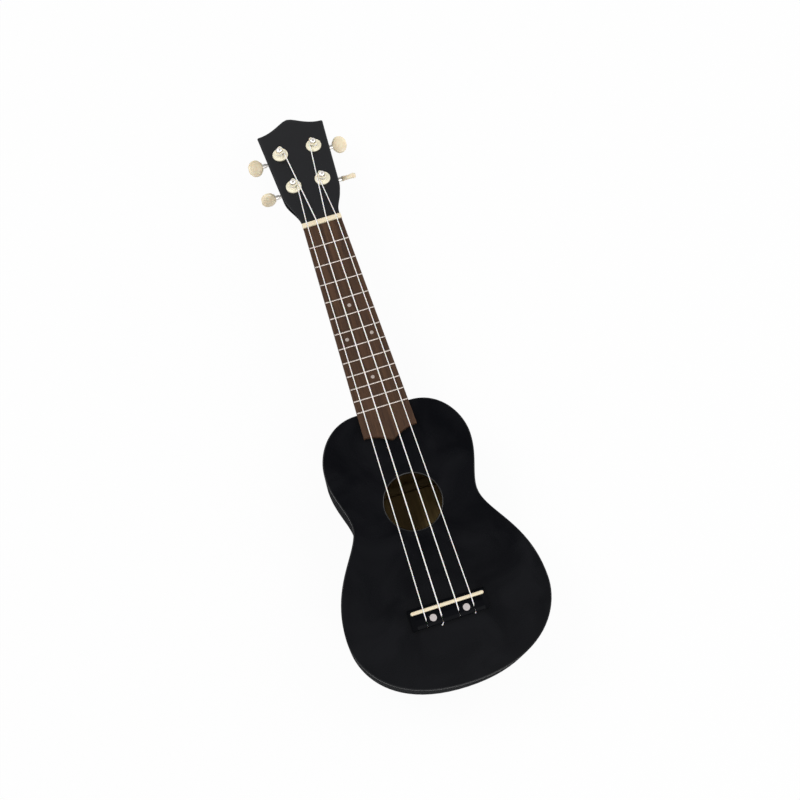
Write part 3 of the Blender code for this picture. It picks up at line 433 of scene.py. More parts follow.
def cut(piece: Piece, cutters: Sequence[Piece]) -> Piece:
    """Cuts solids out of a piece and throws them away.

    Args:
        piece: The object to cut.
        cutters: Closed objects.

    Returns:
        The cut piece.
    """
    for cutter in cutters:
        change = piece.modifiers.new("cut", "BOOLEAN")
        change.operation = "DIFFERENCE"
        change.solver = "EXACT"
        change.object = cutter
    plain_mesh(piece)
    for cutter in cutters:
        bpy.data.objects.remove(cutter, do_unlink=True)
    return piece


def bevelled(piece: Piece, width: float, segments: int, angle: float) -> Piece:
    """Rounds a piece's crisp edges.

    Args:
        piece: The object.
        width: The bevel's width.
        segments: How many strips make it.
        angle: The least angle in degrees that is rounded.

    Returns:
        The rounded piece.
    """
    change = piece.modifiers.new("bevel", "BEVEL")
    change.width = width
    change.segments = segments
    change.limit_method = "ANGLE"
    change.angle_limit = math.radians(angle)
    return plain_mesh(piece)


def rod(radius: float, low: float, high: float, place: Matrix, sides: int = 32) -> Piece:
    """A round cutter along Z of its place."""
    shape = Shape()
    shape.lathe(((0.0, low), (radius, low), (radius, high), (0.0, high)), sides)
    return shape.object("cutter", (), place)


def block(low: Sequence[float], high: Sequence[float]) -> Piece:
    """A square cutter."""
    shape = Shape()
    (west, south, floor), (east, north, top) = low, high
    plan = [Vector(p) for p in ((west, south), (east, south), (east, north), (west, north))]
    shape.slab(plan, floor, top, 0.0, 0.0)
    return shape.object("cutter", ())


class NodeGraph:
    """A node tree under construction, for shaders and for geometry."""

    def __init__(self, tree: Tree) -> None:
        """Takes the tree to fill."""
        self.tree = tree

    def add(self, kind: str, inputs: dict[Any, Any] | None = None, **settings: Any) -> bpy.types.Node:
        """Adds a node.

        Args:
            kind: Its type.
            inputs: What goes into its sockets, by name or number: a value, or another node's output.
            settings: Its own settings.

        Returns:
            The node.
        """
        node = self.tree.nodes.new(kind)
        for name, value in settings.items():
            setattr(node, name, value)
        self.feed(node, inputs or {})
        return node

    def feed(self, node: bpy.types.Node, inputs: dict[Any, Any]) -> None:
        """Gives a node's sockets, by name or number, a value or another node's output."""
        for key, value in inputs.items():
            if isinstance(value, Socket):
                self.tree.links.new(value, node.inputs[key])
            else:
                node.inputs[key].default_value = value

    def use(self, group: Tree, where: Socket, **values: Any) -> bpy.types.bpy_prop_collection:
        """Adds a shader group.

        Args:
            group: Its tree.
            where: The point on the piece.
            values: Its other inputs, with underscores for blanks.

        Returns:
            The group's outputs.
        """
        inputs = {key.replace("_", " "): value for key, value in values.items()}
        return self.add("ShaderNodeGroup", {"Vector": where, **inputs}, node_tree=group).outputs

    def socket(self, name: str, kind: str, value: Any = None, out: bool = False) -> None:
        """Adds a socket to the group's interface."""
        direction = "OUTPUT" if out else "INPUT"
        made = self.tree.interface.new_socket(name, in_out=direction, socket_type=kind)
        if value is not None:
            made.default_value = value

    def blend(self, share: Any, low: Any, high: Any) -> Socket:
        """Mixes two colours and returns the result."""
        return self.add("ShaderNodeMix", {0: share, 6: low, 7: high}, data_type="RGBA").outputs[2]

    def span(self, value: Any, low: Any, high: Any, onto: tuple[float, float] = (0.0, 1.0)) -> Socket:
        """Maps a range onto another, clamped, and returns the result."""
        return self.add("ShaderNodeMapRange", {0: value, 1: low, 2: high, 3: onto[0], 4: onto[1]}).outputs[0]

    def blend_value(self, share: Any, low: Any, high: Any) -> Socket:
        """Blends two numbers by a share."""
        return self.add("ShaderNodeMix", {0: share, 2: low, 3: high}, data_type="FLOAT").outputs[0]

    def math(self, operation: str, first: Any, second: Any = 0.0) -> Socket:
        """Does arithmetic on two values and returns the result."""
        return self.add("ShaderNodeMath", {0: first, 1: second}, operation=operation).outputs[0]

    def vector(self, operation: str, first: Any, second: Any) -> Socket:
        """Does arithmetic on two vectors and returns the result."""
        return self.add("ShaderNodeVectorMath", {0: first, 1: second}, operation=operation).outputs[0]

    def noise(self, where: Any, scale: Any, detail: float, **values: float) -> Socket:
        """Adds a noise texture at a point and returns its strength."""
        inputs = {"Vector": where, "Scale": scale, "Detail": detail}
        inputs |= {key.capitalize(): value for key, value in values.items()}
        return self.add("ShaderNodeTexNoise", inputs).outputs["Fac"]

    def bump(self, height: Any, strength: float, depth: float) -> Socket:
        """Makes a normal from a height and returns it."""
        inputs = {"Strength": strength, "Distance": depth, "Height": height}
        return self.add("ShaderNodeBump", inputs).outputs[0]


def grain_group() -> Tree:
    """Wood grain along a stretched direction: broad streaks, and short open pores."""
    graph = NodeGraph(bpy.data.node_groups.new("wood grain", "ShaderNodeTree"))
    graph.socket("Vector", "NodeSocketVector")
    graph.socket("Stretch", "NodeSocketVector", (1.0, 0.05, 1.0))
    for name, value in (("Streak Scale", 220.0), ("Pore Scale", 900.0), ("Pore Share", 0.4)):
        graph.socket(name, "NodeSocketFloat", value)
    for name in ("Streak", "Pore"):
        graph.socket(name, "NodeSocketFloat", out=True)
    given = graph.add("NodeGroupInput").outputs
    wander = graph.add("ShaderNodeTexNoise", {"Vector": given["Vector"], "Scale": 14.0, "Detail": 2.0})
    sway = graph.vector("MULTIPLY", wander.outputs["Color"], (0.004, 0.0, 0.004))
    along = graph.vector("MULTIPLY", graph.vector("ADD", given["Vector"], sway), given["Stretch"])
    streaks = graph.noise(along, given["Streak Scale"], 6.0, roughness=0.62)
    fibres = graph.noise(along, given["Pore Scale"], 3.0, roughness=0.55)
    least = graph.math("SUBTRACT", 0.78, graph.math("MULTIPLY", given["Pore Share"], 0.25))
    pore = graph.span(fibres, least, graph.math("ADD", least, 0.07))
    graph.add("NodeGroupOutput", {"Streak": graph.span(streaks, 0.32, 0.68), "Pore": pore})
    return graph.tree


def handling_group() -> Tree:
    """What use leaves on a smooth surface: faint smudges, fine specks and hair scratches."""
    graph = NodeGraph(bpy.data.node_groups.new("handled surface", "ShaderNodeTree"))
    graph.socket("Vector", "NodeSocketVector")
    for name, value in (("Smudge Scale", 25.0), ("Speck Scale", 1500.0)):
        graph.socket(name, "NodeSocketFloat", value)
    for name in ("Smudge", "Speck", "Scratch"):
        graph.socket(name, "NodeSocketFloat", out=True)
    given = graph.add("NodeGroupInput").outputs
    where, fine = given["Vector"], given["Speck Scale"]
    smudge = graph.noise(where, given["Smudge Scale"], 4.0, distortion=0.8)
    drawn = graph.vector("MULTIPLY", where, (1.0, 0.04, 0.6))
    marks = {
        "Smudge": graph.span(smudge, 0.35, 0.65),
        "Speck": graph.noise(where, fine, 2.0),
        "Scratch": graph.noise(drawn, fine, 4.0, roughness=0.7),
    }
    graph.add("NodeGroupOutput", marks)
    return graph.tree


GRAIN = grain_group()
HANDLING = handling_group()


@dataclass(frozen=True)
class Finish(ABC):
    """A finish that can be made into a material."""

    name: str
    color: Triple

    def material(self) -> bpy.types.Material:
        """Builds the material."""
        made = bpy.data.materials.new(self.name)
        made.use_nodes = True
        graph = NodeGraph(made.node_tree)
        shader = made.node_tree.nodes["Principled BSDF"]
        where = graph.add("ShaderNodeTexCoord").outputs["Object"]
        self.dress(graph, shader, where)
        return made

    @abstractmethod
    def dress(self, graph: NodeGraph, shader: bpy.types.Node, where: Socket) -> None:
        """Sets the shader up.

        Args:
            graph: The material's nodes.
            shader: Its Principled node.
            where: The point on the piece.
        """

    def tint(self, share: float) -> tuple[float, float, float, float]:
        """The finish's colour, lightened or darkened."""
        return (*(min(1.0, c * share) for c in self.color), 1.0)


@dataclass(frozen=True)
class Lacquer(Finish):
    """Sprayed satin lacquer, faintly uneven, with the wood's grain just telling through."""

    roughness: float = 0.36
    unevenness: float = 0.05
    gloss: float = 0.19

    def dress(self, graph: NodeGraph, shader: bpy.types.Node, where: Socket) -> None:
        """Sets the shader up; see Finish."""
        used, grain = graph.use(HANDLING, where), graph.use(GRAIN, where)
        rough = (self.roughness - self.unevenness, self.roughness + self.unevenness)
        told = graph.math("MULTIPLY", grain["Pore"], -0.25)
        height = graph.math("ADD", graph.math("MULTIPLY", used["Speck"], 0.6), told)
        inputs = {
            "Base Color": graph.blend(used["Smudge"], self.tint(0.92), self.tint(1.12)),
            "Roughness": graph.span(used["Smudge"], 0.0, 1.0, rough),
            "Specular IOR Level": self.gloss,
            "Normal": graph.bump(height, 0.12, 0.00006),
        }
        graph.feed(shader, inputs)


@dataclass(frozen=True)
class Wood(Finish):
    """Wood with no lacquer: streaks along the grain, and open pores."""

    dark: Triple = (0.03, 0.015, 0.01)
    roughness: float = 0.6
    streak_scale: float = 220.0
    pore_scale: float = 900.0
    pore_share: float = 0.5
    stretch: Triple = (1.0, 0.05, 1.0)
    depth: float = 0.0001
    gloss: float = 0.2

    def dress(self, graph: NodeGraph, shader: bpy.types.Node, where: Socket) -> None:
        """Sets the shader up; see Finish."""
        used = graph.use(HANDLING, where)
        grain = graph.use(
            GRAIN,
            where,
            Stretch=self.stretch,
            Streak_Scale=self.streak_scale,
            Pore_Scale=self.pore_scale,
            Pore_Share=self.pore_share,
        )
        streaked = graph.blend(grain["Streak"], (*self.dark, 1.0), self.tint(1.25))
        mottled = graph.blend(graph.math("MULTIPLY", used["Smudge"], 0.35), streaked, self.tint(0.85))
        height = graph.math("SUBTRACT", graph.math("MULTIPLY", grain["Streak"], 0.2), grain["Pore"])
        rough = (self.roughness - 0.08, self.roughness + 0.12)
        inputs = {
            "Base Color": graph.blend(graph.math("MULTIPLY", grain["Pore"], 0.8), mottled, (*self.dark, 1.0)),
            "Roughness": graph.span(grain["Streak"], 0.0, 1.0, rough),
            "Specular IOR Level": self.gloss,
            "Normal": graph.bump(height, 0.5, self.depth),
        }
        graph.feed(shader, inputs)


@dataclass(frozen=True)
class Plastic(Finish):
    """Moulded plastic with faint clouds in it and a softly worn gloss."""

    cloud: Triple = (0.7, 0.6, 0.4)
    cloud_scale: float = 60.0
    swirl: float = 1.0
    cloud_share: float = 0.4
    roughness: float = 0.32
    glow: float = 0.0

    def dress(self, graph: NodeGraph, shader: bpy.types.Node, where: Socket) -> None:
        """Sets the shader up; see Finish."""
        used = graph.use(HANDLING, where, Smudge_Scale=120.0)
        cloud = graph.noise(where, self.cloud_scale, 3.0, distortion=self.swirl)
        share = graph.math("MULTIPLY", graph.span(cloud, 0.35, 0.7), self.cloud_share)
        rough = (self.roughness - 0.05, self.roughness + 0.08)
        inputs = {
            "Base Color": graph.blend(share, self.tint(1.0), (*self.cloud, 1.0)),
            "Roughness": graph.span(used["Smudge"], 0.0, 1.0, rough),
            "Subsurface Weight": self.glow,
            "Subsurface Radius": (0.0012, 0.0008, 0.0005),
            "Normal": graph.bump(used["Speck"], 0.08, 0.00004),
        }
        graph.feed(shader, inputs)


@dataclass(frozen=True)
class Metal(Finish):
    """Plated metal with hair scratches and a dulled bloom."""

    roughness: float = 0.22

    def dress(self, graph: NodeGraph, shader: bpy.types.Node, where: Socket) -> None:
        """Sets the shader up; see Finish."""
        used = graph.use(HANDLING, where, Smudge_Scale=160.0, Speck_Scale=2600.0)
        dull = graph.math("ADD", graph.math("MULTIPLY", used["Smudge"], 0.6), used["Scratch"])
        inputs = {
            "Base Color": graph.blend(used["Smudge"], self.tint(0.86), self.tint(1.05)),
            "Metallic": 1.0,
            "Roughness": graph.span(dull, 0.3, 1.4, (self.roughness - 0.06, self.roughness + 0.22)),
            "Normal": graph.bump(used["Scratch"], 0.10, 0.00003),
        }
        graph.feed(shader, inputs)


class Paints:
    """Every finish of the instrument, as a material."""

    def __init__(self) -> None:
        """Builds the materials."""
        self.lacquer = Lacquer("satin black lacquer", (0.0017, 0.0019, 0.0030), 0.27, gloss=0.15).material()
        # A lighter, glossier copy of the same black lacquer, for the neck piece's upward faces: its lighter
        # colour is painted sheen that makes the headstock read brighter.
        self.head = Lacquer("headstock lacquer", (0.0021, 0.0024, 0.0038), 0.33, gloss=0.25).material()
        # The same black lacquer for faces turned sideways and down: its reflection is switched off so the
        # walls read dark, and its colour is about three times lighter to make up, so light and shade are
        # painted into its colour.
        self.side = Lacquer("dull side lacquer", (0.0052, 0.0056, 0.0066), 0.6, gloss=0.002).material()
        # Lacquer for the soundhole's rounded lip: glossier, and its colour much lighter than the body's as a
        # painted glint.
        self.edge = Lacquer("rubbed lacquer edge", (0.006, 0.006, 0.006), 0.24, gloss=0.35).material()
        self.bridge = Lacquer("bridge black", (0.0022, 0.0024, 0.0034), 0.34, gloss=0.025).material()
        self.rosewood = Wood(
            "rosewood", (0.070, 0.034, 0.0165), (0.028, 0.0125, 0.0065), 0.55, 260.0, 1100.0, 0.75
        ).material()
        # Bare wood's own olive-brown tone, darkened as painted shade inside the body.
        self.inside = Wood(
            "bare plywood", (0.25, 0.175, 0.070), (0.14, 0.085, 0.030), 0.72, 150.0, 700.0, 0.35
        ).material()
        self.brace = Wood(
            "bare spruce", (0.46, 0.33, 0.17), (0.30, 0.20, 0.09), 0.7, 300.0, 900.0, 0.2
        ).material()
        # The braces' spruce, with its grain across, is about three times darker than the blocks' spruce:
        # painted shade inside the body.
        self.shaded_spruce_across = Wood(
            "bare spruce across",
            (0.15, 0.108, 0.045),
            (0.10, 0.066, 0.026),
            roughness=0.7,
            streak_scale=300.0,
            pore_scale=900.0,
            pore_share=0.2,
            stretch=(0.05, 1.0, 1.0),
        ).material()
        self.cream = Plastic("cream plastic", (0.82, 0.72, 0.52), (0.74, 0.62, 0.42), glow=0.12).material()
        self.bush = Plastic("ivory bush", (0.94, 0.88, 0.68), (0.87, 0.80, 0.60), roughness=0.36).material()
        self.pearl = Plastic(
            "pearled button", (0.93, 0.82, 0.60), (0.74, 0.57, 0.35), 90.0, 2.6, 0.55, 0.24, 0.15
        ).material()
        self.dot = Plastic(
            "pale dot", (0.44, 0.38, 0.34), (0.37, 0.32, 0.29), 500.0, 1.5, 0.8, 0.28
        ).material()
        self.cap = Plastic(
            "screw cap", (0.53, 0.48, 0.47), (0.46, 0.42, 0.42), 400.0, 1.0, 0.6, 0.34
        ).material()
        self.nickel = Metal("nickel plate", (0.62, 0.60, 0.57), 0.24).material()
        self.post = Metal("polished post", (0.80, 0.76, 0.71), 0.17).material()
        self.fret_wire = Metal("fret wire", (0.44, 0.39, 0.355), 0.26).material()
        self.wound_nylon = Plastic(
            "nylon in layers", (0.96, 0.89, 0.70), (0.90, 0.82, 0.62), 300.0, 0.5, 0.5, 0.32, 0.2
        ).material()
        self.nylon = Plastic(
            "white nylon", (0.99, 0.97, 0.94), (0.96, 0.94, 0.90), 300.0, 0.5, 0.5, 0.3, 0.2
        ).material()


def keep(piece: Piece, slot: Slot, *nodes: str, body: str = INSTRUMENT) -> Piece:
    """Seats a finished piece on its body.

    Args:
        piece: The object.
        slot: The record's material slot that it is finished in; not used.
        nodes: The model's nodes that it stands for.
        body: The body that it moves with.

    Returns:
        The piece.
    """
    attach(piece, body)
    if nodes:
        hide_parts(*nodes)
    stands_for = ", ".join(nodes) or "no node"
    log.info("%s: %d faces on %s, for %s", piece.name, len(piece.data.polygons), body, stands_for)
    return piece


def give_inputs(change: bpy.types.Modifier, values: dict[str, Any]) -> None:
    """Sets the inputs of a Geometry Nodes modifier by their names.

    Args:
        change: The modifier, with its tree.
        values: The value of each named input.
    """
    for item in change.node_group.interface.items_tree:
        if item.item_type == "SOCKET" and item.in_out == "INPUT" and item.name in values:
            change[item.identifier] = values[item.name]


def cord_tree() -> Tree:
    """Geometry nodes that turn a line of edges into a round cord with closed ends."""
    graph = NodeGraph(bpy.data.node_groups.new("cord along a path", "GeometryNodeTree"))
    graph.socket("Path", "NodeSocketGeometry")
    graph.socket("Radius", "NodeSocketFloat", 0.0004)
    graph.socket("Sides", "NodeSocketInt", 12)
    graph.socket("Finish", "NodeSocketMaterial")
    graph.socket("Cord", "NodeSocketGeometry", out=True)
    given = graph.add("NodeGroupInput").outputs
    line = graph.add("GeometryNodeMeshToCurve", {"Mesh": given["Path"]})
    size = {"Resolution": given["Sides"], "Radius": given["Radius"]}
    section = graph.add("GeometryNodeCurvePrimitiveCircle", size, mode="RADIUS")
    tube = graph.add(
        "GeometryNodeCurveToMesh",
        {"Curve": line.outputs[0], "Profile Curve": section.outputs[0], "Fill Caps": True},
    )
    real = graph.add("GeometryNodeRealizeInstances", {0: tube.outputs[0]})
    dressed = graph.add("GeometryNodeSetMaterial", {"Geometry": real.outputs[0], "Material": given["Finish"]})
    graph.add("NodeGroupOutput", {"Cord": dressed.outputs[0]})
    return graph.tree


def scatter_tree() -> Tree:
    """Geometry nodes that set one piece on every point, turned and sized by the points' attributes."""
    graph = NodeGraph(bpy.data.node_groups.new("pieces on points", "GeometryNodeTree"))
    graph.socket("Points", "NodeSocketGeometry")
    graph.socket("Piece", "NodeSocketObject")
    graph.socket("Finish", "NodeSocketMaterial")
    graph.socket("Pieces", "NodeSocketGeometry", out=True)
    given = graph.add("NodeGroupInput").outputs
    piece = graph.add("GeometryNodeObjectInfo", {"Object": given["Piece"], "As Instance": True})
    turn = graph.add("GeometryNodeInputNamedAttribute", {"Name": "turn"}, data_type="FLOAT_VECTOR")
    size = graph.add("GeometryNodeInputNamedAttribute", {"Name": "size"}, data_type="FLOAT_VECTOR")
    way = graph.add("FunctionNodeEulerToRotation", {0: turn.outputs[0]})
    placed = graph.add(
        "GeometryNodeInstanceOnPoints",
        {
            "Points": given["Points"],
            "Instance": piece.outputs["Geometry"],
            "Rotation": way.outputs[0],
            "Scale": size.outputs[0],
        },
    )
    real = graph.add("GeometryNodeRealizeInstances", {0: placed.outputs[0]})
    dressed = graph.add("GeometryNodeSetMaterial", {"Geometry": real.outputs[0], "Material": given["Finish"]})
    graph.add("NodeGroupOutput", {"Pieces": dressed.outputs[0]})
    return graph.tree


CORD_TREE = cord_tree()
SCATTER_TREE = scatter_tree()


def cord(name: str, points: list[Vector], radius: float, sides: int, finish: bpy.types.Material) -> Piece:
    """A round cord through points.

    Args:
        name: The object's name.
        points: Its route.
        radius: Half its thickness.
        sides: How many facets it has round.
        finish: Its material.

    Returns:
        The object, with a plain mesh.
    """
    mesh = bpy.data.meshes.new(name)
    mesh.from_pydata(points, [(i, i + 1) for i in range(len(points) - 1)], [])
    made = in_scene(name, mesh)
    change = made.modifiers.new("cord", "NODES")
    change.node_group = CORD_TREE
    give_inputs(change, {"Radius": radius, "Sides": sides, "Finish": finish})
    plain_mesh(made)
    made.data.shade_smooth()
    made.data.set_sharp_from_angle(angle=math.radians(50.0))
    return made


@dataclass(frozen=True)
class Seat:
    """Where one of many like pieces goes: its place, its turn in radians about X, Y and Z, and its size."""

    place: Vector
    turn: Triple = (0.0, 0.0, 0.0)
    size: Triple = (1.0, 1.0, 1.0)


def scattered(name: str, pattern: Piece, seats: list[Seat], finish: bpy.types.Material) -> Piece:
    """Sets a pattern piece on every seat.

    Args:
        name: The new object's name.
        pattern: The piece to repeat; it is removed afterwards.
        seats: Where the copies go.
        finish: Their material.

    Returns:
        One object with all the copies, as a plain mesh.
    """
    mesh = bpy.data.meshes.new(name)
    mesh.from_pydata([seat.place for seat in seats], [], [])
    for label, rows in (("turn", [s.turn for s in seats]), ("size", [s.size for s in seats])):
        values = mesh.attributes.new(label, "FLOAT_VECTOR", "POINT")
        values.data.foreach_set("vector", [number for row in rows for number in row])
    made = in_scene(name, mesh)
    change = made.modifiers.new("pieces", "NODES")
    change.node_group = SCATTER_TREE
    give_inputs(change, {"Piece": pattern, "Finish": finish})
    plain_mesh(made)
    bpy.data.objects.remove(pattern, do_unlink=True)
    made.data.set_sharp_from_angle(angle=math.radians(35.0))
    return made


@dataclass(frozen=True)
class BodyOutline:
    """The figure-of-eight plan of the body, as four curves down its treble side."""

    joint: Vector = field(default_factory=lambda: Vector((0.0240, 0.0)))
    upper: Vector = field(default_factory=lambda: Vector((0.0636, 0.0424)))
    waist: Vector = field(default_factory=lambda: Vector((0.0540, 0.0887)))
    lower: Vector = field(default_factory=lambda: Vector((0.0858, 0.1757)))
    fullness: Pairs = ((0.63, 0.46), (0.42, 0.27), (0.24, 0.55), (0.41, 0.76))
    steps: int = 22
    tail_rise: float = 0.0012

    def half(self, inset: float = 0.0) -> list[Vector]:
        """The treble half from the neck joint to the tail.

        Args:
            inset: How far inside the outer face the line runs.

        Returns:
            Points in plan.
        """
        joint, upper, waist, lower = (
            Vector((p.x, LAYOUT.joint_y - p.y)) for p in (self.joint, self.upper, self.waist, self.lower)
        )
        tail = Vector((0.0, self.tail_rise - LAYOUT.joint_y))
        out, back = Vector((1.0, 0.0)), Vector((0.0, -1.0))
        stretches = (
            (joint, out * (upper.x - joint.x), back * (joint.y - upper.y), upper),
            (upper, back * (upper.y - waist.y), back * (upper.y - waist.y), waist),
            (waist, back * (waist.y - lower.y), back * (waist.y - lower.y), lower),
            (lower, back * (lower.y - tail.y), -out * lower.x, tail),
        )
        points: list[Vector] = []
        for (start, leave, arrive, end), (first, second) in zip(stretches, self.fullness):
            points += bezier((start, start + leave * first, end - arrive * second, end), self.steps)
        points.append(tail)
        moved = []
        for i, point in enumerate(points):
            if i == 0:
                along = out
            elif point is tail:
                along = -out
            else:
                along = (points[i + 1] - points[i - 1]).normalized()
            moved.append(point + Vector((along.y, -along.x)) * inset)
        return moved

    def whole(self, inset: float = 0.0) -> list[Vector]:
        """The full outline, counter-clockwise from the tail."""
        return mirrored(self.half(inset))


@dataclass
class SoundBox:
    """The hollow body: soundboard, back, two bent sides, linings, braces and blocks."""

    paints: Paints
    outline: BodyOutline = field(default_factory=BodyOutline)
    rim: float = 0.0010
    rim_support: float = 0.0002
    rim_steps: int = 4
    hole_rim: float = 0.0008
    ray_evenness: float = 0.7
    kerf_pitch: float = 0.0029
    kerf_width: float = 0.0023
    lining_width: float = 0.0050
    lining_height: float = 0.0110
    lining_edge: float = 0.0040
    lining_tip: float = 0.0004
    block_half_width: float = 0.025
    crisp: float = 50.0

    def build(self) -> None:
        """Builds and seats every piece."""
        keep(self.soundboard(), Slot.LACQUER, "soundboard")
        keep(self.back(), Slot.LACQUER, "back")
        for name, side in (("side_left", -1), ("side_right", 1)):
            keep(self.bent_side(f"bent_{name}", side), Slot.LACQUER, name)
        keep(self.linings(), Slot.BARE_WOOD)
        braces = (f"{plate}_brace_{place}" for plate in ("top", "back") for place in ("upper", "lower"))
        # The braces and the bridge plate take the darkened spruce, as painted shade; the blocks keep the
        # plain spruce.
        inside = dict.fromkeys((*braces, "bridge_plate"), self.paints.shaded_spruce_across)
        inside |= dict.fromkeys(("neck_block", "tail_block"), self.paints.brace)
        for name, finish in inside.items():
            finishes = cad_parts[name].data.materials
            finishes.clear()
            finishes.append(finish)

    def soundboard(self) -> Piece:
        """The top, black outside and bare inside, with its soundhole."""
        shape = Shape()
        top, low = LAYOUT.body_depth, LAYOUT.body_depth - LAYOUT.top_thickness
        centre = Vector((0.0, LAYOUT.joint_y - LAYOUT.soundhole_from_joint))
        outer = self.outline.whole()
        rays = self.even_rays([p - centre for p in outer])
        radius = LAYOUT.soundhole_radius

        def hole_ring(reach: float, height: float) -> Ring:
            """A loop round the hole."""
            return shape.ring((centre.x + r.x * reach, centre.y + r.y * reach, height) for r in rays)

        stations = [(0.0, low)]
        stations += [(inset, top - down) for down, inset in round_off(self.rim, self.rim_steps)]
        stations.append((self.rim + self.rim_support, top))
        rings = shape.stack(outer, stations)
        rings.append(hole_ring(radius + self.hole_rim + self.rim_support, top))
        shape.skin(rings)
        lip = [hole_ring(radius + out, top - down) for out, down in round_off(self.hole_rim, 3)]
        throat = hole_ring(radius, low)
        # The lip takes the rim lacquer, whose lighter colour is a painted glint.
        shape.skin([rings[-1], *lip, throat], 1)
        shape.skin([throat, rings[0]], 2)
        finishes = (self.paints.lacquer, self.paints.edge, self.paints.inside)
        return shape.object("top_plate", finishes, sharp=self.crisp)

    def even_rays(self, offsets: Sequence[Vector]) -> list[Vector]:
        """Directions round the soundhole, between those of the outline's points and evenly spaced ones.

        Args:
            offsets: The outline's points from the soundhole's middle, in order.

        Returns:
            One unit direction for each point.
        """
        angles = [math.atan2(offsets[0].y, offsets[0].x)]
        for before, after in zip(offsets, offsets[1:]):
            angles.append(angles[-1] - before.angle_signed(after))
        turn = math.copysign(TURN, angles[-1] - angles[0])
        even = [angles[0] + turn * i / len(offsets) for i in range(len(offsets))]
        share = self.ray_evenness
        mixed = [(1 - share) * own + share * level for own, level in zip(angles, even)]
        return [Vector((math.cos(angle), math.sin(angle))) for angle in mixed]

    def back(self) -> Piece:
        """The back, black outside and bare inside."""
        shape = Shape()
        stations = [(self.rim + self.rim_support, 0.0)]
        stations += round_off(self.rim, self.rim_steps)
        stations.append((0.0, LAYOUT.back_thickness))
        rings = shape.stack(self.outline.whole(), stations)
        shape.skin(rings)
        shape.face(rings[0])
        shape.face(rings[-1], 1)
        return shape.object("back_plate", (self.paints.lacquer, self.paints.inside), sharp=self.crisp)

    def bent_side(self, name: str, side: int) -> Piece:
        """One side, black outside and bare inside.

        Args:
            name: The piece's name.
            side: 1 on the treble side, -1 on the bass side.

        Returns:
            The piece.
        """
        shape = Shape()
        low, high = LAYOUT.back_thickness, LAYOUT.body_depth - LAYOUT.top_thickness
        thick = LAYOUT.side_thickness
        outer = [Vector((0.0, LAYOUT.joint_y)), *self.outline.half()]
        inner = [Vector((0.0, LAYOUT.joint_y - thick)), *self.outline.half(thick)]
        rows = [
            shape.ring((side * p.x, p.y, height) for p in line)
            for line, height in ((outer, low), (outer, high), (inner, high), (inner, low))
        ]
        for first, second, part in ((0, 1, 0), (1, 2, 0), (2, 3, 1), (3, 0, 0)):
            shape.skin([rows[first], rows[second]], part, closed=False)
        for end in (0, -1):
            shape.face([row[end] for row in rows])
        # The outside takes the side copy of the lacquer, with light and shade painted into its colour.
        return shape.object(name, (self.paints.side, self.paints.inside), sharp=self.crisp)

    def linings(self) -> Piece:
        """The kerfed strips that join the sides to the top and the back."""
        pattern = Shape()
        half = self.kerf_width / 2
        section = (
            (0.0, 0.0),
            (self.lining_width, 0.0),
            (self.lining_width, self.lining_edge),
            (self.lining_tip, self.lining_height),
            (0.0, self.lining_height),
        )
        pattern.loft([pattern.ring((x, y, z) for y, z in section) for x in (-half, half)])
        seats = []
        for side in (1, -1):
            line = [Vector((side * p.x, p.y)) for p in self.outline.half(LAYOUT.side_thickness)]
            if side < 0:
                line.reverse()
            walked, due = 0.0, self.kerf_pitch
            for start, end in zip(line, line[1:]):
                step = end - start
                while walked + step.length >= due:
                    spot = start + step * ((due - walked) / step.length)
                    due += self.kerf_pitch
                    if abs(spot.x) < self.block_half_width:
                        continue
                    heading = math.atan2(step.y, step.x)
                    low = Vector((spot.x, spot.y, LAYOUT.back_thickness))
                    high = Vector((spot.x, spot.y, LAYOUT.body_depth - LAYOUT.top_thickness))
                    seats.append(Seat(high, (math.pi, 0.0, heading)))
                    seats.append(Seat(low, (0.0, 0.0, heading + math.pi)))
                walked += step.length
        return scattered("kerfed_linings", pattern.object("pattern", ()), seats, self.paints.brace)


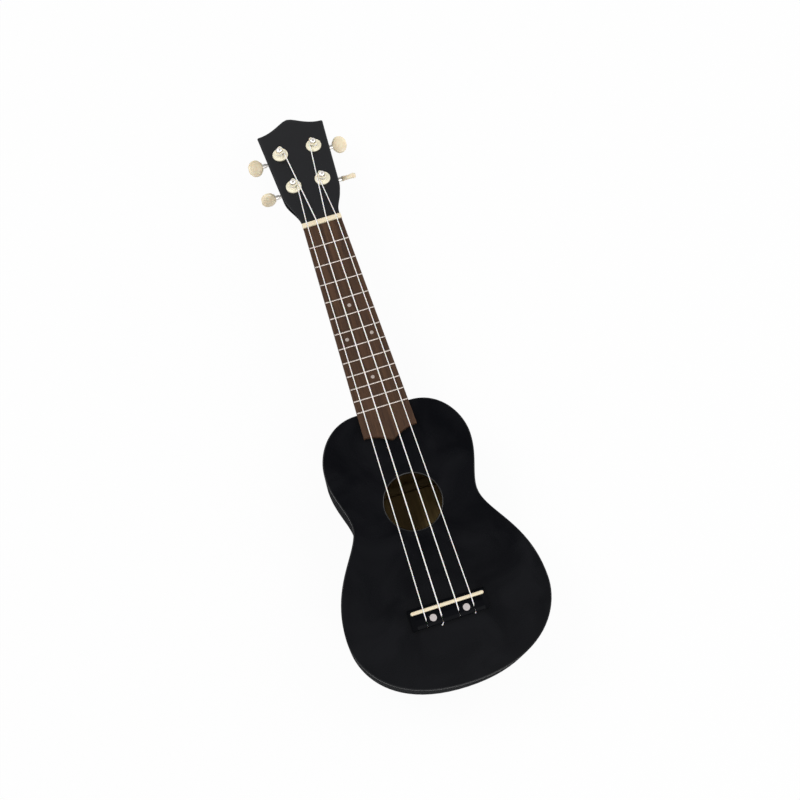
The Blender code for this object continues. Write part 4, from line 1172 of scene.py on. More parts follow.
@dataclass
class Neck:
    """Neck shaft, heel and headstock, carved from one piece and lacquered."""

    paints: Paints
    nut_half_width: float = 0.0173
    board_end_half_width: float = 0.0231
    corner_past_joint: float = 0.0221
    depth_at_nut: float = 0.0140
    depth_at_heel: float = 0.0165
    heel_length: float = 0.040
    heel_depth: float = 0.058
    heel_taper: float = 0.55
    back_flat: float = 0.10
    shoulder_end: float = 0.035
    shoulder_half_width: float = 0.0264
    corner_half_width: float = 0.0308
    corner_height: float = 0.1060
    peak_height: float = 0.1173
    rim: float = 0.0012
    back_rim: float = 0.0035
    back_taper: float = 0.0008
    blend_length: float = 0.038
    heel_swell: float = 2.4
    nut_bend: float = 0.04
    bush_bore: float = 0.0049
    bush_bore_depth: float = 0.0086
    post_bore: float = 0.0033
    post_bore_depth: float = 0.03
    head_start: float = 0.002
    least_rim: float = 0.0002
    flat_steps: int = 8
    arc_steps: int = 10
    heel_steps: int = 14
    shaft_steps: int = 12
    end_steps: int = 6

    def build(self, posts: Sequence[tuple[float, float]]) -> None:
        """Builds and seats the neck, drilled for the posts."""
        neck = self.shape().object("neck_and_head", (self.paints.head, self.paints.side), sharp=48.0)
        # Faces turned upwards take the lighter, glossier copy of the lacquer and the rest take the side copy:
        # light and shade painted by facing on one lacquered piece.
        for face in neck.data.polygons:
            face.material_index = int(face.normal.z < 0.5)
        drills = []
        for x, y in posts:
            place = LAYOUT.head_place @ Matrix.Translation((x, y, 0.0))
            bores = ((self.bush_bore, self.bush_bore_depth), (self.post_bore, self.post_bore_depth))
            drills += [rod(radius, -depth, 0.01, place, 40) for radius, depth in bores]
        keep(cut(neck, drills), Slot.LACQUER, "neck")

    def board_half_width(self, from_nut: float) -> float:
        """Half the fingerboard's width at a distance from the nut."""
        corner = LAYOUT.scale_length / 2 + self.corner_past_joint
        return self.nut_half_width + (self.board_end_half_width - self.nut_half_width) * from_nut / corner

    def neck_section(self, half: float, depth: float, heel: float) -> list[Vector]:
        """Half a cross-section of the neck, from the middle of its top to the middle of its back.

        Args:
            half: Half its width.
            depth: Its depth.
            heel: How much of a heel it is, from 0 to 1.

        Returns:
            Points as across and down.
        """
        square, steps = heel**1.3, self.flat_steps
        flat = half - self.rim * 0.3
        points = [Vector((flat * i / steps, 0.0)) for i in range(steps + 1)]
        points += [Vector((half - self.rim * 0.1, -self.rim * 0.05)), Vector((half, -self.rim * 0.2))]
        for i in range(1, self.arc_steps + 1):
            turn = QUARTER * i / self.arc_steps
            across = math.cos(turn) ** 0.9 * (1 - self.back_flat) + self.back_flat
            down = math.sin(turn) ** 0.9
            squared = 1 - self.heel_taper * down**1.4
            points.append(Vector((half * (across + (squared - across) * square), -depth * down)))
        last = points[-1]
        points += [Vector((last.x * (1 - i / steps), last.y)) for i in range(1, steps + 1)]
        return points

    def head_section(self, half: float, depth: float, shrink: float = 0.0) -> list[Vector]:
        """Half a cross-section of the headstock, point for point like the neck's.

        Args:
            half: Half its width.
            depth: Its thickness.
            shrink: How far its outside is drawn in all round.

        Returns:
            Points as across and down.
        """
        half, top, low = half - shrink, -shrink, shrink - depth
        bend, steps = max(self.least_rim, self.rim - shrink), self.flat_steps
        flat = half - bend
        points = [Vector((flat * i / steps, top)) for i in range(steps + 1)]
        points += [Vector((flat + bend * s, top - bend * (1 - c))) for s, c in quarter(2)[1:]]
        bend = self.back_rim
        flat = half - self.back_taper - bend
        points += [Vector((flat + bend * c, low + bend * (1 - s))) for s, c in quarter(self.arc_steps - 1)]
        points += [Vector((flat * (1 - i / steps), low)) for i in range(1, steps + 1)]
        return points

    def side_line(self) -> list[Vector]:
        """The headstock's side from the nut to its corner, as half width and height."""
        start = Vector((self.nut_half_width, self.head_start))
        shoulder = Vector((self.shoulder_half_width, self.shoulder_end))
        corner = Vector((self.corner_half_width, self.corner_height))
        slope = (corner.x - shoulder.x) / (corner.y - shoulder.y)
        reach = (self.shoulder_end - self.head_start) * 0.36
        handles = (start, start + Vector((0, reach)), shoulder - Vector((slope, 1.0)) * reach, shoulder)
        return bezier(handles, 16) + [shoulder + (corner - shoulder) * (i / 10) for i in range(10)]

    def ogee(self, across: float) -> float:
        """The height of the headstock's end at a distance from its middle."""
        corner, peak = Vector((self.corner_half_width, self.corner_height)), Vector((0.0, self.peak_height))
        handles = (corner, corner - Vector((corner.x * 0.5, 0)), peak + Vector((corner.x * 0.2, 0)), peak)
        line = bezier(handles, 60) + [peak]
        for first, second in zip(line, line[1:]):
            if second.x <= across <= first.x:
                return first.y + (second.y - first.y) * (first.x - across) / max(1e-9, first.x - second.x)
        return self.corner_height

    def shape(self) -> Shape:
        """The whole form, lofted from the heel to the headstock's end."""
        shape = Shape()
        rings: list[Ring] = []

        def add(section: Sequence[Vector], place: Matrix, heights: Sequence[float] | None = None) -> None:
            """Adds a section; heights give each point its own distance along."""
            along = heights or [0.0] * len(section)
            right = [place @ Vector((p.x, h, p.y)) for p, h in zip(section, along)]
            left = [place @ Vector((-p.x, h, p.y)) for p, h in zip(section, along)]
            rings.append(shape.ring(right + list(reversed(left))[1:-1]))

        length = LAYOUT.nut_y - LAYOUT.joint_y + LAYOUT.nut_thickness
        rest, count = length - self.heel_length, self.shaft_steps
        stations = [self.heel_length * (i / self.heel_steps) ** 1.4 for i in range(self.heel_steps + 1)]
        stations += [self.heel_length + rest * i / count for i in range(1, count + 1)]
        for station in stations:
            from_nut = LAYOUT.nut_y - LAYOUT.joint_y - station
            heel = max(0.0, 1 - station / self.heel_length)
            plain = self.depth_at_nut + (self.depth_at_heel - self.depth_at_nut) * max(0.0, from_nut) / length
            depth = plain + (self.heel_depth - plain) * heel**self.heel_swell
            tilt = LAYOUT.head_angle * ease((station - length + self.nut_bend) / self.nut_bend)
            place = Matrix.Translation((0, LAYOUT.joint_y + station, LAYOUT.body_depth))
            place @= Matrix.Rotation(-tilt, 4, "X")
            add(self.neck_section(self.board_half_width(from_nut), depth, heel), place)

        line = self.side_line()
        for across, height in line[1:]:
            share = ease(height / self.blend_length)
            neck = self.neck_section(across, self.depth_at_nut, 0.0)
            head = self.head_section(across, LAYOUT.head_thickness)
            section = [a.lerp(b, share) for a, b in zip(neck, head)]
            add(section, LAYOUT.head_place @ Matrix.Translation((0, height, 0)))
        start = line[-1]
        for i in range(1, self.end_steps + 1):
            share = i / self.end_steps
            across = start.x + (self.corner_half_width - start.x) * share
            section = self.head_section(across, LAYOUT.head_thickness)
            ends = [self.ogee(p.x * self.corner_half_width / across) - self.rim for p in section]
            heights = [start.y + (end - start.y) * share for end in ends]
            add(section, LAYOUT.head_place, heights)
        for below, shrink in round_off(self.rim, 3)[1:]:
            section = self.head_section(self.corner_half_width, LAYOUT.head_thickness, shrink)
            heights = [self.ogee(p.x) - below for p in section]
            add(section, LAYOUT.head_place, heights)
        shape.skin(rings)
        shape.face(rings[0])
        self.close_end(shape, rings[-1])
        return shape

    def close_end(self, shape: Shape, ring: Ring) -> None:
        """Closes the ogee end with strips from its face edge to its back edge."""
        count, flat = len(ring), self.flat_steps
        half = count // 2
        for i in range(flat):
            shape.face((ring[i], ring[i + 1], ring[half - i - 1], ring[half - i]))
            shape.face((ring[-i % count], ring[-(i + 1) % count], ring[half + i + 1], ring[half + i]))
        shape.face(ring[flat : half - flat + 1])
        shape.face(ring[half + flat : count - flat + 1])


@dataclass
class Fingerboard:
    """The rosewood board with its frets and position dots, and the nut at its end."""

    paints: Paints
    neck: Neck
    tip_past_corner: float = 0.0072
    fret_width: float = 0.0014
    fret_height: float = 0.0010
    fret_inset: float = 0.0003
    fret_ends: Pairs = ((0.25, 1.0), (0.62, 0.9935), (0.88, 0.984), (1.0, 0.966))
    tang_depth: float = 0.0010
    crown_steps: int = 10
    frets: int = 12
    dot_radius: float = 0.0016
    dot_spread: float = 0.0109
    dot_depth: float = 0.0010
    dot_rise: float = 0.00006
    dot_rim: float = 0.0001
    dot_sides: int = 32
    nut_height: float = 0.0062
    nut_back_height: float = 0.0050
    nut_overhang: float = 0.0003
    slot_gap: float = 0.00006
    slot_fall: float = 0.15
    string_height: float = 0.0017
    rim: float = 0.0005

    def build(self, string_x: Sequence[float], string_diameters: Sequence[float]) -> None:
        """Builds and seats the board, the dots, the frets and the nut."""
        keep(self.board(), Slot.ROSEWOOD, "fingerboard")
        keep(self.dots(), Slot.CREAM)
        keep(self.fret_set(), Slot.NICKEL, *(f"fret_{n:02d}" for n in range(1, self.frets + 1)))
        keep(self.nut(string_x, string_diameters), Slot.CREAM, "nut")

    @property
    def face(self) -> float:
        """The board's finished face, which meets the frets' crowns."""
        return LAYOUT.board_top + LAYOUT.gap

    def board(self) -> Piece:
        """The board, with its ogee end over the soundboard."""
        corner = Vector((self.neck.board_end_half_width, LAYOUT.joint_y - self.neck.corner_past_joint))
        tip = Vector((0.0, corner.y - self.tip_past_corner))
        handles = (corner, corner - Vector((0.6 * corner.x, 0)), tip + Vector((0.13 * corner.x, 0)), tip)
        half = [Vector((self.neck.nut_half_width, LAYOUT.nut_y)), *bezier(handles, 20), tip]
        shape = Shape()
        shape.slab(mirrored(half), LAYOUT.body_depth, self.face, 0.0, self.rim)
        return shape.object("fretted_board", (self.paints.rosewood,), sharp=40.0)

    def dots(self) -> Piece:
        """Pale position dots before the fifth, seventh and tenth frets."""
        pattern = Shape()
        profile = [(0.0, -self.dot_depth), (self.dot_radius, -self.dot_depth)]
        profile += round_rim(self.dot_radius, self.dot_rise, self.dot_rim, True, 2) + [(0.0, 0.00007)]
        pattern.lathe(profile, self.dot_sides)
        places = ((4.5, 0.0), (6.5, -self.dot_spread), (6.5, self.dot_spread), (9.5, 0.0))
        seats = [
            Seat(Vector((x, LAYOUT.fret_y(number), self.face)), (0.0, 0.0, number * 2.3 + x * 90))
            for number, x in places
        ]
        return scattered("position_dots", pattern.object("pattern", ()), seats, self.paints.dot)

    def fret_set(self) -> Piece:
        """All the frets: a domed crown with rounded ends, on a tang."""
        pattern = Shape()
        sections = []
        half = self.fret_width / 2
        for share, reach in self.fret_ends:
            low = -self.tang_depth * min(1.0, share * 2)
            turns = [math.pi * i / self.crown_steps for i in range(1, self.crown_steps)]
            crown = [(half * math.cos(t), self.fret_height * share * math.sin(t)) for t in turns]
            sections.append((reach, [(half, low), (half, 0.0), *crown, (-half, 0.0), (-half, low)]))
        both = [(-reach, line) for reach, line in sections] + sections[::-1]
        pattern.loft([pattern.ring((x, y, z) for y, z in line) for x, line in both])
        seats = []
        for number in range(1, self.frets + 1):
            y = LAYOUT.fret_y(number)
            half = self.neck.board_half_width(LAYOUT.nut_y - y) - self.fret_inset
            seats.append(Seat(Vector((0.0, y, self.face)), size=(half, 1.0, 1.0)))
        wire = pattern.object("pattern", (), sharp=60.0)
        return scattered("fret_wires", wire, seats, self.paints.fret_wire)

    def nut(self, string_x: Sequence[float], diameters: Sequence[float]) -> Piece:
        """The nut: its top falls away backwards, with a round-bottomed slot for each string."""
        half, bend = self.neck.nut_half_width + self.nut_overhang, self.rim
        front, back = LAYOUT.nut_y, LAYOUT.nut_y + LAYOUT.nut_thickness
        base = LAYOUT.body_depth + LAYOUT.gap
        stations: dict[float, float] = {}
        for x, diameter in zip(string_x, diameters):
            radius = diameter / 2 + self.slot_gap
            for turn in (QUARTER * i / 4 for i in range(-4, 5)):
                stations[x + radius * math.sin(turn)] = radius * math.cos(turn)
            for reach in (radius + 0.00003, radius + 0.0004):
                stations[x - reach] = stations[x + reach] = -1.0
        for inset, _ in round_off(bend, 3):
            stations[half - inset] = stations[inset - half] = -1.0
        shape = Shape()
        rings = []
        for x in sorted(stations):
            drop = bend - math.sqrt(max(0.0, bend**2 - max(0.0, abs(x) - half + bend) ** 2))
            top, rear = base + self.nut_height - drop, base + self.nut_back_height - drop
            ring = [(front, base + drop), (front, top - bend)]
            ring += [(front + inset, top - down) for down, inset in round_off(bend, 3)[1:]]
            ring.append((front + 0.0019, top - 0.0001))
            ring += [(back - inset, rear - down) for inset, down in round_off(bend, 3)]
            ring.append((back, base + drop))
            if stations[x] >= 0.0:
                line = LAYOUT.board_top + self.string_height
                slots = [line - self.slot_fall * max(0.0, y - front - 0.0015) for y, _ in ring]
                ring = [(y, min(z, slot - stations[x])) for (y, z), slot in zip(ring, slots)]
            rings.append(shape.ring((x, y, z) for y, z in ring))
        shape.loft(rings)
        return shape.object("nut_slotted", (self.paints.cream,), sharp=45.0)


@dataclass
class Bridge:
    """The bridge on the soundboard, its saddle and its two screw caps."""

    paints: Paints
    length: float = 0.0655
    width: float = 0.0176
    height: float = 0.0066
    edge_height: float = 0.0040
    front_slope: float = 0.0018
    back_slope: float = 0.0075
    end_taper: float = 0.0040
    end_rise: float = 0.62
    saddle_from_front: float = 0.0042
    saddle_length: float = 0.0615
    saddle_thickness: float = 0.0028
    saddle_rise: float = 0.0024
    crown: float = 0.0009
    crown_share: float = 0.9
    saddle_gap: float = 0.0001
    seat_depth: float = 0.0034
    slot_length: float = 0.0068
    slit_half_width: float = 0.00017
    mouth_length: float = 0.0024
    slot_floor: float = 0.0016
    pocket_size: float = 0.0034
    pocket_floor: float = 0.0008
    cap_radius: float = 0.0029
    cap_spacing: float = 0.0280
    cap_from_saddle: float = 0.0075
    cap_depth: float = 0.001
    cap_rise: float = 0.00035
    cap_sides: int = 40
    slot_gap: float = 0.0002
    margin: float = 0.002
    rim: float = 0.0005

    def build(self, string_x: Sequence[float], string_diameters: Sequence[float]) -> None:
        """Builds and seats the bridge, the caps and the saddle."""
        keep(self.block(string_x, string_diameters), Slot.LACQUER, "bridge")
        keep(self.caps(), Slot.CREAM)
        keep(self.saddle(), Slot.CREAM, "saddle")

    @property
    def base(self) -> float:
        """The height of its underside."""
        return LAYOUT.body_depth + LAYOUT.gap

    @property
    def front(self) -> float:
        """The Y of its front face."""
        return LAYOUT.saddle_y + self.saddle_from_front

    @property
    def back(self) -> float:
        """The Y of its back face."""
        return self.front - self.width

    @property
    def saddle_top(self) -> float:
        """The height at which the strings cross the saddle."""
        return self.base + self.height + self.saddle_rise

    def block(self, string_x: Sequence[float], diameters: Sequence[float]) -> Piece:
        """The bridge itself, with its saddle slot, string slots and knot pockets."""
        shape = Shape()
        rings = []
        low, outer = LAYOUT.body_depth, self.length / 2
        inner = outer - self.end_taper
        for x, rise in ((-outer, self.end_rise), (-inner, 1.0), (inner, 1.0), (outer, self.end_rise)):
            edge, crest = self.base + self.edge_height * rise, self.base + self.height * rise
            profile = (
                (self.front, low),
                (self.front, edge),
                (self.front - self.front_slope, crest),
                (self.back + self.back_slope, crest),
                (self.back + self.back_slope * 0.4, crest - (crest - edge) * 0.4),
                (self.back, edge),
                (self.back, low),
            )
            rings.append(shape.ring((x, y, z) for y, z in profile))
        shape.loft(rings)
        piece = bevelled(shape.object("bridge_block", (self.paints.bridge,)), self.rim, 3, 12.0)
        piece.data.shade_flat()

        high = self.base + self.height + self.margin
        seat = Shape()
        gap = self.saddle_gap
        outline = stadium(self.saddle_length / 2 + gap, self.saddle_thickness / 2 + gap)
        seat_floor = self.base + self.height - self.seat_depth
        seat.slab([p + Vector((0, LAYOUT.saddle_y)) for p in outline], seat_floor, high, 0.0, 0.0)
        cutters = [seat.object("cutter", ())]
        floor, end = self.base + self.slot_floor, self.back + self.slot_length
        middle = self.base + self.pocket_floor + self.pocket_size * 0.42
        for x, diameter in zip(string_x, diameters):
            wide = diameter / 2 + self.slot_gap
            slit, mouth = self.back - self.margin, end - self.mouth_length
            for half, start in ((self.slit_half_width, slit), (wide, mouth)):
                cutters.append(block((x - half, start, floor), (x + half, end, high)))
            slot_end, pocket = (wide, self.slot_length, floor, 16), self.pocket_size
            for radius, depth, height, sides in (slot_end, (pocket / 2, pocket, middle, 28)):
                place = Matrix.Translation((x, self.back, height)) @ Matrix.Rotation(-QUARTER, 4, "X")
                cutters.append(rod(radius, -self.margin, depth, place, sides))
        return cut(piece, cutters)

    def caps(self) -> Piece:
        """The discs that cover the two screws."""
        pattern = Shape()
        profile = [(0.0, -self.cap_depth), (self.cap_radius, -self.cap_depth)]
        profile += round_rim(self.cap_radius, self.cap_rise, 0.0002, True, 3)
        profile += [(self.cap_radius * 0.6, 0.00043), (0.0, 0.00047)]
        pattern.lathe(profile, self.cap_sides)
        y, z = LAYOUT.saddle_y - self.cap_from_saddle, self.base + self.height
        seats = []
        for side in (-1, 1):
            seats.append(Seat(Vector((side * self.cap_spacing / 2, y, z)), (0.0, 0.0, side * 0.8)))
        return scattered("screw_caps", pattern.object("pattern", ()), seats, self.paints.cap)

    def saddle(self) -> Piece:
        """The saddle: round ends, and a top rounded across for the strings."""
        shape = Shape()
        radius = self.saddle_thickness / 2
        outline = [p + Vector((0, LAYOUT.saddle_y)) for p in stadium(self.saddle_length / 2, radius)]
        stations = [(0.0, self.base + self.height - self.seat_depth)]
        share = self.crown_share
        for sine, cosine in quarter(7)[:-1]:
            stations.append((radius * (1 - cosine) * share, self.saddle_top - self.crown * (1 - sine)))
        stations.append((radius * share, self.saddle_top))
        shape.loft(shape.stack(outline, stations))
        return shape.object("saddle_bone", (self.paints.cream,), sharp=50.0)


@dataclass(frozen=True)
class Tuner:
    """Where one tuning machine stands, and how its button is turned at rest."""

    number: int
    side: int
    x: float
    y: float
    roll: float

    @property
    def spot(self) -> Matrix:
        """Its post's axis in the headstock's frame, at the face."""
        return Matrix.Translation((self.side * self.x, self.y, 0.0))

    @property
    def place(self) -> Matrix:
        """Its post's axis in the instrument's frame."""
        return LAYOUT.head_place @ self.spot

    def at(self, point: Vector) -> Vector:
        """A point beside the post, given as for the treble side, in the instrument's frame."""
        return self.place @ Vector((self.side * point.x, point.y, point.z))


@dataclass
class StringSet:
    """The four nylon strings, from their knots in the bridge to their posts."""

    paints: Paints
    tuners: Sequence[Tuner]
    bridge: Bridge
    names: tuple[str, ...] = ("string_g", "string_c", "string_e", "string_a")
    diameters: tuple[float, ...] = (0.00080, 0.00100, 0.00092, 0.00078)
    knot_depth: float = 0.0023
    knot_height: float = 0.0019
    knot_size: float = 0.42
    knot_steps: int = 30
    over_saddle: Pairs = ((-0.0022, 0.0009), (-0.0011, 0.0003), (-0.0003, 0.0), (0.0008, 0.00002))
    over_nut: Pairs = ((0.0002, 0.0), (0.0015, 0.0), (0.0030, 0.00025), (LAYOUT.nut_thickness, 0.0006))
    tail_ends: Pairs = (
        (0.0004, 0.0014),
        (-0.0014, -0.0013),
        (0.0004, 0.0014),
        (-0.0003, -0.0004),
    )
    nut_x: tuple[float, ...] = (-0.0132, -0.0045, 0.0045, 0.0132)
    saddle_x: tuple[float, ...] = (-0.0201, -0.0072, 0.0072, 0.0201)
    above_board: float = 0.0017
    post_radius: float = 0.00275
    post_gap: float = 0.00006
    wrap_height: float = 0.00345
    hole_height: float = 0.0064
    hole_bend: float = 0.0009
    wrap: float = math.radians(290.0)
    turn_pitch: float = 1.05
    turns_above: float = 1.1
    turns_start: float = math.radians(150.0)
    rise_over: float = math.radians(70.0)
    bend_over: float = math.radians(50.0)
    tuck: float = 0.3
    loop_points: int = 48
    sides: int = 14

    def build(self) -> None:
        """Builds and seats each string, and its winding on the post."""
        for index, tuner in enumerate(self.tuners):
            self.winding(index, tuner, self.string(index, tuner))

    def wrap_radius(self, diameter: float) -> float:
        """Where a string's middle runs round its post."""
        return self.post_radius + self.post_gap + diameter / 2

    def string(self, index: int, tuner: Tuner) -> float:
        """Builds one string up to the end of its first wrap.

        Args:
            index: Which string, from the bass side.
            tuner: Its tuning machine.

        Returns:
            The turn angle at which it first touches the post.
        """
        diameter = self.diameters[index]
        radius = diameter / 2
        x, x_nut = self.saddle_x[index], self.nut_x[index]
        back, base = self.bridge.back, self.bridge.base
        knot = Vector((x, back + self.knot_depth, base + self.knot_height))
        aside, behind = self.tail_ends[index]
        slot_end = back + self.bridge.slot_length - 0.0010
        saddle_z = self.bridge.saddle_top + radius
        nut_z = LAYOUT.board_top + self.above_board
        behind_saddle = (
            (back + 0.0036, base + 0.0021),
            (slot_end - 0.0010, base + 0.0026),
            (slot_end - 0.0003, base + self.bridge.height - 0.0012),
            (slot_end + 0.0003, base + self.bridge.height + 0.0001),
        )
        bends = [Vector((x, y, z)) for y, z in behind_saddle]
        bends += [Vector((x, LAYOUT.saddle_y + y, saddle_z - down)) for y, down in self.over_saddle]
        bends += [Vector((x_nut, LAYOUT.nut_y + y, nut_z - down)) for y, down in self.over_nut]
        tail = Vector((x + aside, back + behind, base))
        route = self.knot(knot, tail, diameter) + smoothed(bends, 4)
        reach = self.wrap_radius(diameter)
        nut = LAYOUT.head_place.inverted() @ bends[-1]
        away = Vector((nut.x * tuner.side - tuner.x, nut.y - tuner.y))
        start = math.atan2(away.y, away.x) % TURN - math.acos(reach / away.length)
        steps = round(self.loop_points * self.wrap / TURN)
        for i in range(steps + 1):
            turn = start - self.wrap * i / steps
            tuck = ease((i / steps - 0.9) / 0.1) * diameter * self.tuck
            spot = Vector((math.cos(turn), math.sin(turn), 0)) * (reach - tuck)
            spot.z = self.wrap_height
            route.append(tuner.at(spot))
        piece = cord(f"{self.names[index]}_nylon", route, radius, self.sides, self.paints.nylon)
        keep(piece, Slot.NYLON, self.names[index])
        return start

    def knot(self, centre: Vector, tail: Vector, diameter: float) -> list[Vector]:
        """An overhand knot with its cut tail, ready to run on into the string.

        Args:
            centre: The knot's middle.
            tail: The foot of the cut tail, which turns up there.
            diameter: The string's thickness.

        Returns:
            The points of its route.
        """
        size, count = diameter * self.knot_size, self.knot_steps
        leave = centre + Vector((diameter * 0.7, -0.0012, 0.0001))
        foot = tail + Vector((0, 0, diameter * 0.55))
        route = [foot + Vector((0, 0, diameter * share)) for share in (0.75, 0.25)]
        route += [foot.lerp(leave, 0.15), foot.lerp(leave, 0.6), leave]
        for i in range(count + 1):
            turn = 0.35 + (TURN - 0.7) * i / count
            across = math.sin(turn) + 2 * math.sin(2 * turn)
            up = math.cos(turn) - 2 * math.cos(2 * turn)
            route.append(centre + Vector((across * size, -math.sin(3 * turn) * size * 0.9, up * size)))
        route.append(centre + Vector((0.0, 0.0013, 0.0003)))
        return route

    def winding(self, index: int, tuner: Tuner, start: float) -> None:
        """Builds the close turns on a post, up to where the string enters its hole."""
        diameter = self.diameters[index]
        base = self.wrap_radius(diameter)
        pitch = diameter * self.turn_pitch
        low = self.wrap_height + diameter * self.turns_above
        first = start - self.turns_start
        bend = QUARTER + math.asin(self.hole_bend / base)
        turns = (self.hole_height - low - 0.4 * diameter) / pitch
        end = bend - TURN * round((turns * TURN + bend - first) / TURN)
        steps = round(self.loop_points * (first - end) / TURN)
        route = []
        for i in range(steps + 1):
            turn = first + (end - first) * i / steps
            climb = low + pitch * (first - turn) / TURN
            last = max(0.0, 1 - (turn - end) / self.rise_over)
            height = climb + (self.hole_height - climb) * ease(last)
            tuck = ease((0.03 - i / steps) / 0.03) * diameter * self.tuck
            radius = base - tuck + self.hole_bend * ease(max(0.0, 1 - (turn - end) / self.bend_over))
            route.append(Vector((radius * math.cos(turn), radius * math.sin(turn), height)))
        centre = Vector((math.cos(bend), math.sin(bend), 0)) * base + Vector((0, 0, self.hole_height))
        for i in range(1, 7):
            turn = bend * (1 - i / 6)
            route.append(centre + Vector((math.cos(turn), math.sin(turn), 0)) * self.hole_bend)
        route += [Vector((0, reach * self.post_radius, self.hole_height)) for reach in (0.3, -0.9, -1.35)]
        placed, name = [tuner.at(p) for p in route], f"string_turns_{tuner.number}"
        piece = cord(name, placed, diameter / 2, self.sides, self.paints.wound_nylon)
        keep(piece, Slot.NYLON, f"winding_{tuner.number}", body=f"post_{tuner.number}")


@dataclass
class TuningMachines:
    """The four worm-geared tuning machines: bush, post, gear, plate, worm and button."""

    paints: Paints
    tuners: Sequence[Tuner]
    clearance: float = 0.0002
    chamfer: float = 0.0003
    post_radius: float = 0.00275
    post_top: float = 0.0090
    hole_height: float = 0.0064
    hole_radius: float = 0.0007
    dome_height: float = 0.0016
    tail_radius: float = 0.0019
    screw_radius: float = 0.0027
    screw_height: float = 0.0010
    bush_radius: float = 0.0069
    bush_rim: float = 0.0012
    bush_top: float = 0.0026
    crown_radius: float = 0.0052
    sleeve_radius: float = 0.0046
    sleeve_length: float = 0.0080
    crown_round: float = 0.0009
    rim_round: float = 0.0006
    plate_front: float = -0.0128
    plate_back: float = -0.0140
    plate_half: float = 0.0051
    plate_screw_radius: float = 0.0017
    plate_screws_at: Pairs = ((0.0158, 0.7), (-0.0098, 2.1))
    tail_reach: float = 0.0128
    tip_reach: float = 0.0192
    ear_inside: float = 0.0039
    ear_radius: float = 0.0029
    ear_steps: int = 16
    teeth: int = 14
    pitch_radius: float = 0.0040
    gear_front: float = -0.0153
    gear_back: float = -0.0189
    tooth_height: float = 0.00048
    tooth_root: float = 0.00062
    tooth_round: float = 0.00008
    tip_share: float = 0.24
    root_share: float = 0.56
    worm_depth: float = -0.0171
    worm_offset: float = 0.0062
    worm_pitch_radius: float = 0.0022
    worm_length: float = 0.0066
    thread_steps: int = 44
    run_out_steps: int = 9
    shaft_radius: float = 0.0015
    shaft_past_ear: float = 0.0008
    collar_radius: float = 0.0021
    collar_length: float = 0.0036
    button_from_post: float = 0.0176
    button_length: float = 0.0130
    button_width: float = 0.0153
    button_thickness: float = 0.0042
    bore_depth: float = 0.0075
    button_sides: int = 56
    squareness: float = 0.8
    end_round: Triple = (0.012, -0.10, -0.25)
    sections: tuple[Triple, ...] = (
        (0.00, 0.40, 1.05),
        (0.08, 0.58, 1.14),
        (0.20, 0.82, 1.10),
        (0.35, 0.97, 1.02),
        (0.52, 1.00, 1.00),
        (0.70, 0.94, 1.08),
        (0.86, 0.74, 1.20),
        (1.00, 0.40, 0.98),
    )

    @property
    def lead(self) -> float:
        """How far the thread moves along the shaft in a turn."""
        return TURN * self.pitch_radius / self.teeth

    def build(self) -> None:
        """Builds and seats every machine."""
        for tuner in self.tuners:
            number = tuner.number
            keep(self.bush(tuner), Slot.CREAM, f"ferrule_{number}")
            keep(self.plate(tuner), Slot.NICKEL, f"tuner_plate_{number}")
            keep(self.post(tuner), Slot.NICKEL, f"string_post_{number}", body=f"post_{number}")
            keep(self.gear(tuner), Slot.NICKEL, f"gear_{number}", body=f"post_{number}")
            keep(self.worm(tuner), Slot.NICKEL, f"worm_shaft_{number}", body=f"key_{number}")
            keep(self.button(tuner), Slot.PEARL, f"button_{number}", body=f"key_{number}")
        keep(self.plate_screws(), Slot.NICKEL)

    def bush(self, tuner: Tuner) -> Piece:
        """The cream bush: a sleeve in the head, and a flange with a raised centre."""
        bore = self.post_radius + self.clearance
        profile = [(bore, -self.sleeve_length), (bore, self.bush_top - 0.0003)]
        profile += [(bore + 0.0001, self.bush_top - 0.0001), (bore + 0.0003, self.bush_top)]
        crown, rim = self.crown_radius, self.bush_rim
        profile += round_rim(crown - 0.0007, self.bush_top, self.crown_round, False, 5)
        profile += [(crown - 0.0004, rim + 0.0005), (crown, rim + 0.0002)]
        profile += round_rim(self.bush_radius, rim, self.rim_round, False, 5)
        profile.append((self.bush_radius, 0.0))
        profile += [(self.sleeve_radius, 0.0), (self.sleeve_radius, -self.sleeve_length)]
        shape = Shape()
        shape.lathe(profile, 64)
        return shape.object(f"bush_{tuner.number}", (self.paints.bush,), tuner.place, 40.0)

    def plate(self, tuner: Tuner) -> Piece:
        """The plate on the headstock's back, with the two ears that carry the worm."""
        shape = Shape()
        half = self.plate_half
        middle, reach = (self.tip_reach - self.tail_reach) / 2, (self.tip_reach + self.tail_reach) / 2
        outline = [Vector((-p.y, p.x + middle)) for p in stadium(reach, half, 14)]
        shape.slab(outline, self.plate_back, self.plate_front + 0.0002, 0.0003, 0.0, 3)
        radius, depth, foot = self.ear_radius, self.worm_depth, self.plate_back + 0.0006
        turns = [-math.pi * i / self.ear_steps for i in range(self.ear_steps + 1)]
        near, far = self.ear_inside, half - 0.0001
        stations = ((near, 0.95), (near + 0.00015, 1.0), (half - 0.00025, 1.0), (far, 0.95))
        for side in (-1, 1):
            rings = []
            for x, share in stations:
                tab = [(radius, foot), *((radius * math.cos(t), depth + radius * math.sin(t)) for t in turns)]
                tab.append((-radius, foot))
                tab = [(y * share, z if z > depth else depth + (z - depth) * share) for y, z in tab]
                rings.append(shape.ring((side * x, self.worm_offset + y, z) for y, z in tab))
            shape.loft(rings)
        piece = shape.object(f"machine_plate_{tuner.number}", (self.paints.nickel,), tuner.place, 40.0)
        across = self.key_place(tuner) @ Matrix.Rotation(QUARTER, 4, "Y")
        bores = [
            rod(self.shaft_radius + self.clearance, -0.01, 0.01, across, 28),
            rod(self.post_radius + self.clearance, 2 * self.plate_back, 0.0, tuner.place, 36),
        ]
        return cut(piece, bores)

